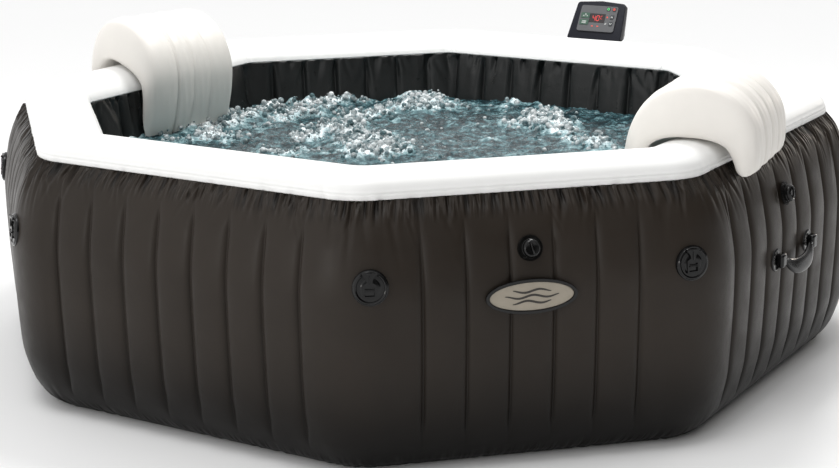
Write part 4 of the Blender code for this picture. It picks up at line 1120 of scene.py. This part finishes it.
ZT = 0.0057
ring_icon("icon_power_ring", 0.745, 0.115, 0.0036, 0.0013, ICON_G, ZT, ZT + 0.0003, True, "button_power")
bar_icon("icon_power_bar", 0.745, 0.115, 0.0, 0.0034, 0.0013, 0.0046, ICON_G, ZT, ZT + 0.00031, "button_power")
ring_icon("icon_heat_ring", 0.900, 0.115, 0.0034, 0.0013, ICON_R, ZT, ZT + 0.0003, False, "button_heater")
bar_icon("icon_heat_bar", 0.900, 0.115, 0.0, 0.0, 0.0022, 0.0022, ICON_R, ZT, ZT + 0.00031, "button_heater")
bar_icon("icon_up_a", 0.885, 0.420, -0.0016, 0.0, 0.0013, 0.0058, ICON_W, ZT, ZT + 0.0003, "button_temp_up", ang=-38)
bar_icon("icon_up_b", 0.885, 0.420, 0.0016, 0.0, 0.0013, 0.0058, ICON_W, ZT, ZT + 0.00031, "button_temp_up", ang=38)
bar_icon("icon_down_a", 0.885, 0.680, -0.0016, 0.0, 0.0013, 0.0058, ICON_W, ZT, ZT + 0.0003, "button_temp_down", ang=38)
bar_icon("icon_down_b", 0.885, 0.680, 0.0016, 0.0, 0.0013, 0.0058, ICON_W, ZT, ZT + 0.00031, "button_temp_down", ang=-38)
for k, (dx, dy, r) in enumerate(((-0.006, -0.002, 0.0022), (0.0, 0.002, 0.0028), (0.0065, -0.0015, 0.0018))):
    cx_, cy_ = fuv(0.160, 0.400)
    prism("icon_bubble_%d" % (k + 1), ellipse(r, r, 24, cx_ + dx, cy_ + dy), ZT, ZT + 0.0003, ICON_W, PANEL, "button_bubble",
          holes=[ellipse(r - 0.0008, r - 0.0008, 24, cx_ + dx, cy_ + dy)])
for k in range(3):
    bar_icon("icon_filter_%d" % (k + 1), 0.160, 0.660, 0.0, 0.0036 - 0.0036 * k, 0.015, 0.0012, ICON_W, ZT, ZT + 0.0003, "button_filter")
bar_icon("icon_lamp_a", 0.765, 0.43, -0.001, 0.0, 0.0045, 0.0045, ICON_R, 0.0044, 0.0048, "control_panel")
bar_icon("icon_lamp_b", 0.400, 0.80, 0.0, 0.0, 0.0062, 0.0030, ICON_R, 0.0044, 0.0048, "control_panel")
bar_icon("icon_lamp_c", 0.550, 0.80, 0.0, 0.0, 0.0062, 0.0030, ICON_R, 0.0044, 0.0048, "control_panel")
bar_icon("icon_line_a", 0.745, 0.67, 0.0, 0.0, 0.0060, 0.0010, ICON_W, 0.0044, 0.0048, "control_panel", ang=20)
bar_icon("icon_line_b", 0.745, 0.67, 0.0, -0.003, 0.0060, 0.0010, ICON_W, 0.0044, 0.0048, "control_panel", ang=20)

# ------------------------------------------------------------------ control unit details
UNIT_D0, UNIT_D1 = 1.105, 1.485
UPM = Matrix.Translation(n_of("BR") * ((UNIT_D0 + UNIT_D1) / 2)) @ Matrix.Rotation(radians(45.0), 4, "Z")
HX = (UNIT_D1 - UNIT_D0) / 2
prism("unit_cover", round_rect(HX + 0.006, 0.256, 0.050, 8), 0.4703, 0.5003, NAVY, UPM, "tub", 0.007, 4)
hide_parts("unit_lid")
for k in range(9):
    y = -0.16 + 0.04 * k
    M = UPM @ Matrix.Translation((HX + 0.0012, y, 0.300)) @ Matrix.Rotation(radians(90), 4, "Y")
    prism("unit_louvre_%d" % (k + 1), round_rect(0.060, 0.0065, 0.006, 5), -0.0014, 0.0022, BLACKM, M, "tub", 0.0010, 2)

# ------------------------------------------------------------------ materials of the CAD nodes that stay
KEEP = {"ground_sheet": WALL, "tub_floor": LINER, "beam_web": WEB, "unit_base": BLACKM, "unit_casing": CASE, "suction_pipe": BLACKM,
        "return_pipe": BLACKM, "air_pipe": BLACKM, "pump_housing": BLACKM, "pump_impeller": GREY, "heater_tube": STEEL,
        "blower_housing": BLACKM, "blower_fan": GREY, "cord_gland": BLACKM, "panel_neck": NAVY, "panel_fascia": GREY,
        "panel_display": GLASS, "button_bubble": GREENB, "button_filter": GREENB, "button_power": DARKB,
        "button_heater": DARKB, "button_temp_up": DARKB, "button_temp_down": DARKB}
for n_, m_ in KEEP.items():
    o = NODE[n_]
    if not o.material_slots:
        o.data.materials.append(m_)
    for s in o.material_slots:
        s.material = m_
for n_, w_ in (("unit_casing", 0.0015), ("unit_base", 0.002), ("panel_fascia", 0.0006), ("panel_neck", 0.003), ("button_bubble", 0.0006),
               ("button_filter", 0.0006), ("button_power", 0.0006), ("button_heater", 0.0006), ("button_temp_up", 0.0006),
               ("button_temp_down", 0.0006), ("panel_display", 0.0003)):
    md = NODE[n_].modifiers.new("edge", "BEVEL")
    md.width, md.segments, md.limit_method, md.angle_limit = w_, 2, "ANGLE", radians(40)

# ------------------------------------------------------------------ water, a stage prop
def water():
    step = 0.0055
    lim = 0.875
    n = int(2 * lim / step) + 1
    xs = np.linspace(-lim, lim, n)
    X, Y = np.meshgrid(xs, xs)
    inside = np.ones_like(X, bool)
    edge = np.full(X.shape, 9.0)
    for s in SIDES:
        d = apothem(s) - 0.252 - (X * n_of(s).x + Y * n_of(s).y)
        edge = np.minimum(edge, d)
    inside = edge > 0
    H = np.zeros_like(X)
    FR_ = np.zeros_like(X)
    for i in range(n):
        for j in range(n):
            if not inside[i, j]:
                continue
            x, y = X[i, j], Y[i, j]
            v = Vector((x, y, 0.0))
            a = noise.fractal(v * 5.0, 0.9, 2.0, 3)
            b = noise.fractal(v * 22.0 + Vector((3, 1, 0)), 0.7, 2.1, 4)
            c = noise.noise(v * 95.0)
            fr_ = noise.fractal(v * 3.4 + Vector((9, 4, 2)), 0.8, 2.0, 3)
            # froth gathers over the jets at the back and on the left
            place_ = (0.42 * smoothstep(0.15, 0.62, y) * (1.0 - 0.55 * smoothstep(-0.10, 0.45, x)) + 0.40 * smoothstep(0.28, 0.75, -x)
                      + 0.22 * smoothstep(0.40, 0.75, x) * smoothstep(-0.1, 0.5, y) - 0.20)
            m = smoothstep(0.0, 0.50, fr_ * 1.0 + place_)
            lump = noise.cell(v * 60.0) if False else abs(noise.noise(v * 62.0 + Vector((0, 0, 5))))
            H[i, j] = 0.484 + 0.011 * a + 0.0075 * b + 0.0018 * c + m * (0.008 + 0.034 * abs(noise.noise(v * 19.0)) + 0.012 * lump)
            FR_[i, j] = m
    vid = -np.ones(X.shape, int)
    vid[inside] = np.arange(inside.sum())
    co = np.column_stack([X[inside], Y[inside], H[inside]])
    q = inside[:-1, :-1] & inside[1:, :-1] & inside[1:, 1:] & inside[:-1, 1:]
    faces = np.stack([vid[:-1, :-1][q], vid[:-1, 1:][q], vid[1:, 1:][q], vid[1:, :-1][q]], -1)
    me = bpy.data.meshes.new("water")
    me.vertices.add(len(co))
    me.vertices.foreach_set("co", co.astype(np.float32).ravel())
    me.loops.add(faces.size)
    me.loops.foreach_set("vertex_index", faces.astype(np.int32).ravel())
    me.polygons.add(len(faces))
    me.polygons.foreach_set("loop_start", np.arange(0, faces.size, 4, dtype=np.int32))
    me.update(calc_edges=True)
    at = me.attributes.new("froth", "FLOAT", "POINT")
    at.data.foreach_set("value", FR_[inside].astype(np.float32))
    me.shade_smooth()
    ob = bpy.data.objects.new("water", me)
    bpy.context.scene.collection.objects.link(ob)
    return ob, X[inside], Y[inside], H[inside], FR_[inside], edge[inside]


def smoothstep(a, b, x):
    t = min(1.0, max(0.0, (x - a) / (b - a)))
    return t * t * (3 - 2 * t)


def water_material():
    m = bpy.data.materials.new("water_look")
    m.use_nodes = True
    nt = m.node_tree
    b = nt.nodes["Principled BSDF"]
    b.inputs["Roughness"].default_value = 0.06
    b.inputs["IOR"].default_value = 1.33
    b.inputs["Specular IOR Level"].default_value = 0.6
    tc = nt.nodes.new("ShaderNodeTexCoord")
    at = nt.nodes.new("ShaderNodeAttribute")
    at.attribute_name = "froth"
    n1 = nt.nodes.new("ShaderNodeTexNoise")
    n1.inputs["Scale"].default_value = 34.0
    n1.inputs["Detail"].default_value = 9.0
    n1.inputs["Roughness"].default_value = 0.75
    v1 = nt.nodes.new("ShaderNodeTexVoronoi")
    v1.feature = "DISTANCE_TO_EDGE"
    v1.inputs["Scale"].default_value = 95.0
    nt.links.new(tc.outputs["Object"], n1.inputs["Vector"])
    nt.links.new(tc.outputs["Object"], v1.inputs["Vector"])
    # froth amount = froth map * .75 + noise
    m1 = nt.nodes.new("ShaderNodeMath")
    m1.operation = "MULTIPLY_ADD"
    m1.inputs[1].default_value = 0.42
    nt.links.new(at.outputs["Fac"], m1.inputs[0])
    nt.links.new(n1.outputs["Fac"], m1.inputs[2])
    ramp = nt.nodes.new("ShaderNodeValToRGB")
    e = ramp.color_ramp.elements
    e[0].position, e[0].color = 0.44, (0.006, 0.018, 0.023, 1)
    e[1].position, e[1].color = 0.92, (0.92, 0.97, 0.98, 1)
    for p, c in ((0.52, (0.028, 0.070, 0.082, 1)), (0.60, (0.095, 0.180, 0.198, 1)), (0.69, (0.24, 0.37, 0.395, 1)),
                 (0.80, (0.58, 0.70, 0.73, 1))):
        x = ramp.color_ramp.elements.new(p)
        x.color = c
    # lighter water towards the near side, with foam drawn out in streaks
    sp = nt.nodes.new("ShaderNodeSeparateXYZ")
    nt.links.new(tc.outputs["Object"], sp.inputs["Vector"])
    near = nt.nodes.new("ShaderNodeMapRange")
    near.interpolation_type = "SMOOTHSTEP"
    for k_, v_ in (("From Min", 0.25), ("From Max", -0.70), ("To Min", 0.0), ("To Max", 0.15)):
        near.inputs[k_].default_value = v_
    nt.links.new(sp.outputs["Y"], near.inputs["Value"])
    mp = nt.nodes.new("ShaderNodeMapping")
    mp.inputs["Scale"].default_value = (9.0, 22.0, 9.0)
    nt.links.new(tc.outputs["Object"], mp.inputs["Vector"])
    n2 = nt.nodes.new("ShaderNodeTexNoise")
    n2.inputs["Scale"].default_value = 1.0
    n2.inputs["Detail"].default_value = 9.0
    n2.inputs["Roughness"].default_value = 0.72
    n2.inputs["Distortion"].default_value = 1.6
    nt.links.new(mp.outputs["Vector"], n2.inputs["Vector"])
    st_ = nt.nodes.new("ShaderNodeMath")
    st_.operation = "MULTIPLY_ADD"
    st_.inputs[1].default_value = 0.55
    nt.links.new(n2.outputs["Fac"], st_.inputs[0])
    nt.links.new(near.outputs["Result"], st_.inputs[2])
    st2 = nt.nodes.new("ShaderNodeMath")
    st2.operation = "SUBTRACT"
    nt.links.new(st_.outputs[0], st2.inputs[0])
    st2.inputs[1].default_value = 0.275
    st3 = nt.nodes.new("ShaderNodeMath")
    st3.operation = "ADD"
    nt.links.new(m1.outputs[0], st3.inputs[0])
    nt.links.new(st2.outputs[0], st3.inputs[1])
    nt.links.new(st3.outputs[0], ramp.inputs["Fac"])
    nt.links.new(ramp.outputs["Color"], b.inputs["Base Color"])
    bp = nt.nodes.new("ShaderNodeBump")
    bp.inputs["Strength"].default_value = 0.55
    bp.inputs["Distance"].default_value = 0.006
    nt.links.new(n1.outputs["Fac"], bp.inputs["Height"])
    b2 = nt.nodes.new("ShaderNodeBump")
    b2.inputs["Strength"].default_value = 0.35
    b2.inputs["Distance"].default_value = 0.004
    nt.links.new(v1.outputs["Distance"], b2.inputs["Height"])
    nt.links.new(bp.outputs["Normal"], b2.inputs["Normal"])
    nt.links.new(b2.outputs["Normal"], b.inputs["Normal"])
    return m


wob, wx, wy, wh, wf, we = water()
wob.data.materials.append(water_material())
# bubbles that sit in the froth
BUB = bpy.data.materials.new("bubble_look")
BUB.use_nodes = True
bb = BUB.node_tree.nodes["Principled BSDF"]
bb.inputs["Base Color"].default_value = (0.40, 0.52, 0.55, 1)
bb.inputs["Roughness"].default_value = 0.07
bb.inputs["IOR"].default_value = 1.40
bb.inputs["Transmission Weight"].default_value = 0.45
bn = BUB.node_tree.nodes.new("ShaderNodeTexNoise")
bn.inputs["Scale"].default_value = 30.0
bn.inputs["Detail"].default_value = 5.0
br_ = BUB.node_tree.nodes.new("ShaderNodeValToRGB")
br_.color_ramp.elements[0].color = (0.15, 0.24, 0.26, 1)
br_.color_ramp.elements[0].position = 0.42
br_.color_ramp.elements[1].color = (0.95, 0.98, 0.99, 1)
br_.color_ramp.elements[1].position = 0.60
bt = BUB.node_tree.nodes.new("ShaderNodeTexCoord")
BUB.node_tree.links.new(bt.outputs["Object"], bn.inputs["Vector"])
BUB.node_tree.links.new(bn.outputs["Fac"], br_.inputs["Fac"])
BUB.node_tree.links.new(br_.outputs["Color"], bb.inputs["Base Color"])
rb = np.random.default_rng(5)
w_ = np.clip(wf, 0, 1) ** 1.6 * (we > 0.02)
w_ += 0.004 * (we > 0.02)
w_ /= w_.sum()
nb_ = 8200
ids = rb.choice(len(wx), nb_, p=w_)
bm = bmesh.new()
bmesh.ops.create_icosphere(bm, subdivisions=2, radius=1.0)
ic = np.array([v.co for v in bm.verts])
itri = np.array([[v.index for v in f.verts] for f in bm.faces])
bm.free()
rad = 0.0014 + 0.0085 * rb.uniform(0, 1, nb_) ** 3.6
cen = np.column_stack([wx[ids] + rb.normal(0, 0.003, nb_), wy[ids] + rb.normal(0, 0.003, nb_), wh[ids] + rad * 0.15 + 0.012 * rb.uniform(0, 1, nb_) ** 5])
co = (ic[None] * rad[:, None, None] + cen[:, None, :]).reshape(-1, 3)
tri = (itri[None] + (np.arange(nb_) * len(ic))[:, None, None]).reshape(-1, 3)
me = bpy.data.meshes.new("bubbles")
me.vertices.add(len(co))
me.vertices.foreach_set("co", co.astype(np.float32).ravel())
me.loops.add(tri.size)
me.loops.foreach_set("vertex_index", tri.astype(np.int32).ravel())
me.polygons.add(len(tri))
me.polygons.foreach_set("loop_start", np.arange(0, tri.size, 3, dtype=np.int32))
me.update(calc_edges=True)
me.shade_smooth()
bo = bpy.data.objects.new("bubbles", me)
bpy.context.scene.collection.objects.link(bo)
me.materials.append(BUB)

# ------------------------------------------------------------------ stage, light, camera
bm = bmesh.new()
bmesh.ops.create_grid(bm, x_segments=1, y_segments=1, size=60.0)
me = bpy.data.meshes.new("floor")
bm.to_mesh(me)
bm.free()
fl = bpy.data.objects.new("floor", me)
fl.location.z = -0.0015
bpy.context.scene.collection.objects.link(fl)
fm = mat("floor_look", (0.88, 0.88, 0.88), rough=0.9, spec=0.1, vary=0.004, vscale=0.5, rvary=0.0)
me.materials.append(fm)

w = bpy.data.worlds.new("studio")
bpy.context.scene.world = w
w.use_nodes = True
nt = w.node_tree
bg = nt.nodes["Background"]
tc = nt.nodes.new("ShaderNodeTexCoord")
dp = nt.nodes.new("ShaderNodeVectorMath")
dp.operation = "DOT_PRODUCT"
dp.inputs[1].default_value = Vector((0.78, -0.60, -0.30)).normalized()
nt.links.new(tc.outputs["Generated"], dp.inputs[0])
rp = nt.nodes.new("ShaderNodeValToRGB")
rp.color_ramp.elements[0].position, rp.color_ramp.elements[0].color = 0.05, (1.0, 1.0, 1.0, 1)
rp.color_ramp.elements[1].position, rp.color_ramp.elements[1].color = 0.62, (0.05, 0.048, 0.045, 1)
x = rp.color_ramp.elements.new(0.35)
x.color = (0.38, 0.38, 0.38, 1)
nt.links.new(dp.outputs["Value"], rp.inputs["Fac"])
nt.links.new(rp.outputs["Color"], bg.inputs["Color"])
bg.inputs["Strength"].default_value = 1.03


def area(name, loc, target, size, power, color=(1, 1, 1)):
    l = bpy.data.lights.new(name, "AREA")
    l.shape, l.size, l.energy, l.color = "DISK", size, power, color
    o = bpy.data.objects.new(name, l)
    o.location = loc
    o.rotation_euler = (Vector(target) - Vector(loc)).to_track_quat("-Z", "Y").to_euler()
    bpy.context.scene.collection.objects.link(o)
    return o


sun = bpy.data.lights.new("sun", "SUN")
sun.energy, sun.angle = 0.75, radians(22)
so = bpy.data.objects.new("sun", sun)
so.rotation_euler = Vector((0.16, 0.08, -0.98)).to_track_quat("-Z", "Y").to_euler()
bpy.context.scene.collection.objects.link(so)
area("front_soft", (-4.0, -3.2, 1.0), (-0.6, -0.8, 0.3), 0.8, 15, (1.0, 0.97, 0.93))
area("inside_soft", (0.55, 0.35, 3.2), (-0.2, 0.3, 0.5), 0.9, 50, (1.0, 0.995, 0.98))
area("right_warm", (4.2, 1.6, 1.3), (1.0, -0.4, 0.3), 0.4, 9, (1.0, 0.90, 0.78))

f, cxp, cyp = 1876.4965, 372.7367, 240.5635
yaw, pitch, roll = radians(12.2667881), radians(14.8974922), radians(-0.941643478)
fw = Vector((sin(yaw) * cos(pitch), cos(yaw) * cos(pitch), -sin(pitch)))
rt = Vector((cos(yaw), -sin(yaw), 0))
up = rt.cross(fw)
rt2 = rt * cos(roll) + up * sin(roll)
up2 = -rt * sin(roll) + up * cos(roll)
cam = bpy.data.cameras.new("cam")
cam.sensor_width, cam.sensor_fit = 36.0, "HORIZONTAL"
cam.lens = 36.0 * f / 839.0
cam.shift_x, cam.shift_y = (419.5 - cxp) / 839.0, (cyp - 234.0) / 839.0
cam.clip_end = 300
co_ = bpy.data.objects.new("cam", cam)
mw = Matrix((rt2, up2, -fw)).transposed().to_4x4()
mw.translation = Vector((-1.18000626, -4.86507742, 1.57728389))
co_.matrix_world = mw
bpy.context.scene.collection.objects.link(co_)
bpy.context.scene.camera = co_
bpy.context.scene.view_settings.view_transform = "Standard"
bpy.context.scene.view_settings.look = "None"
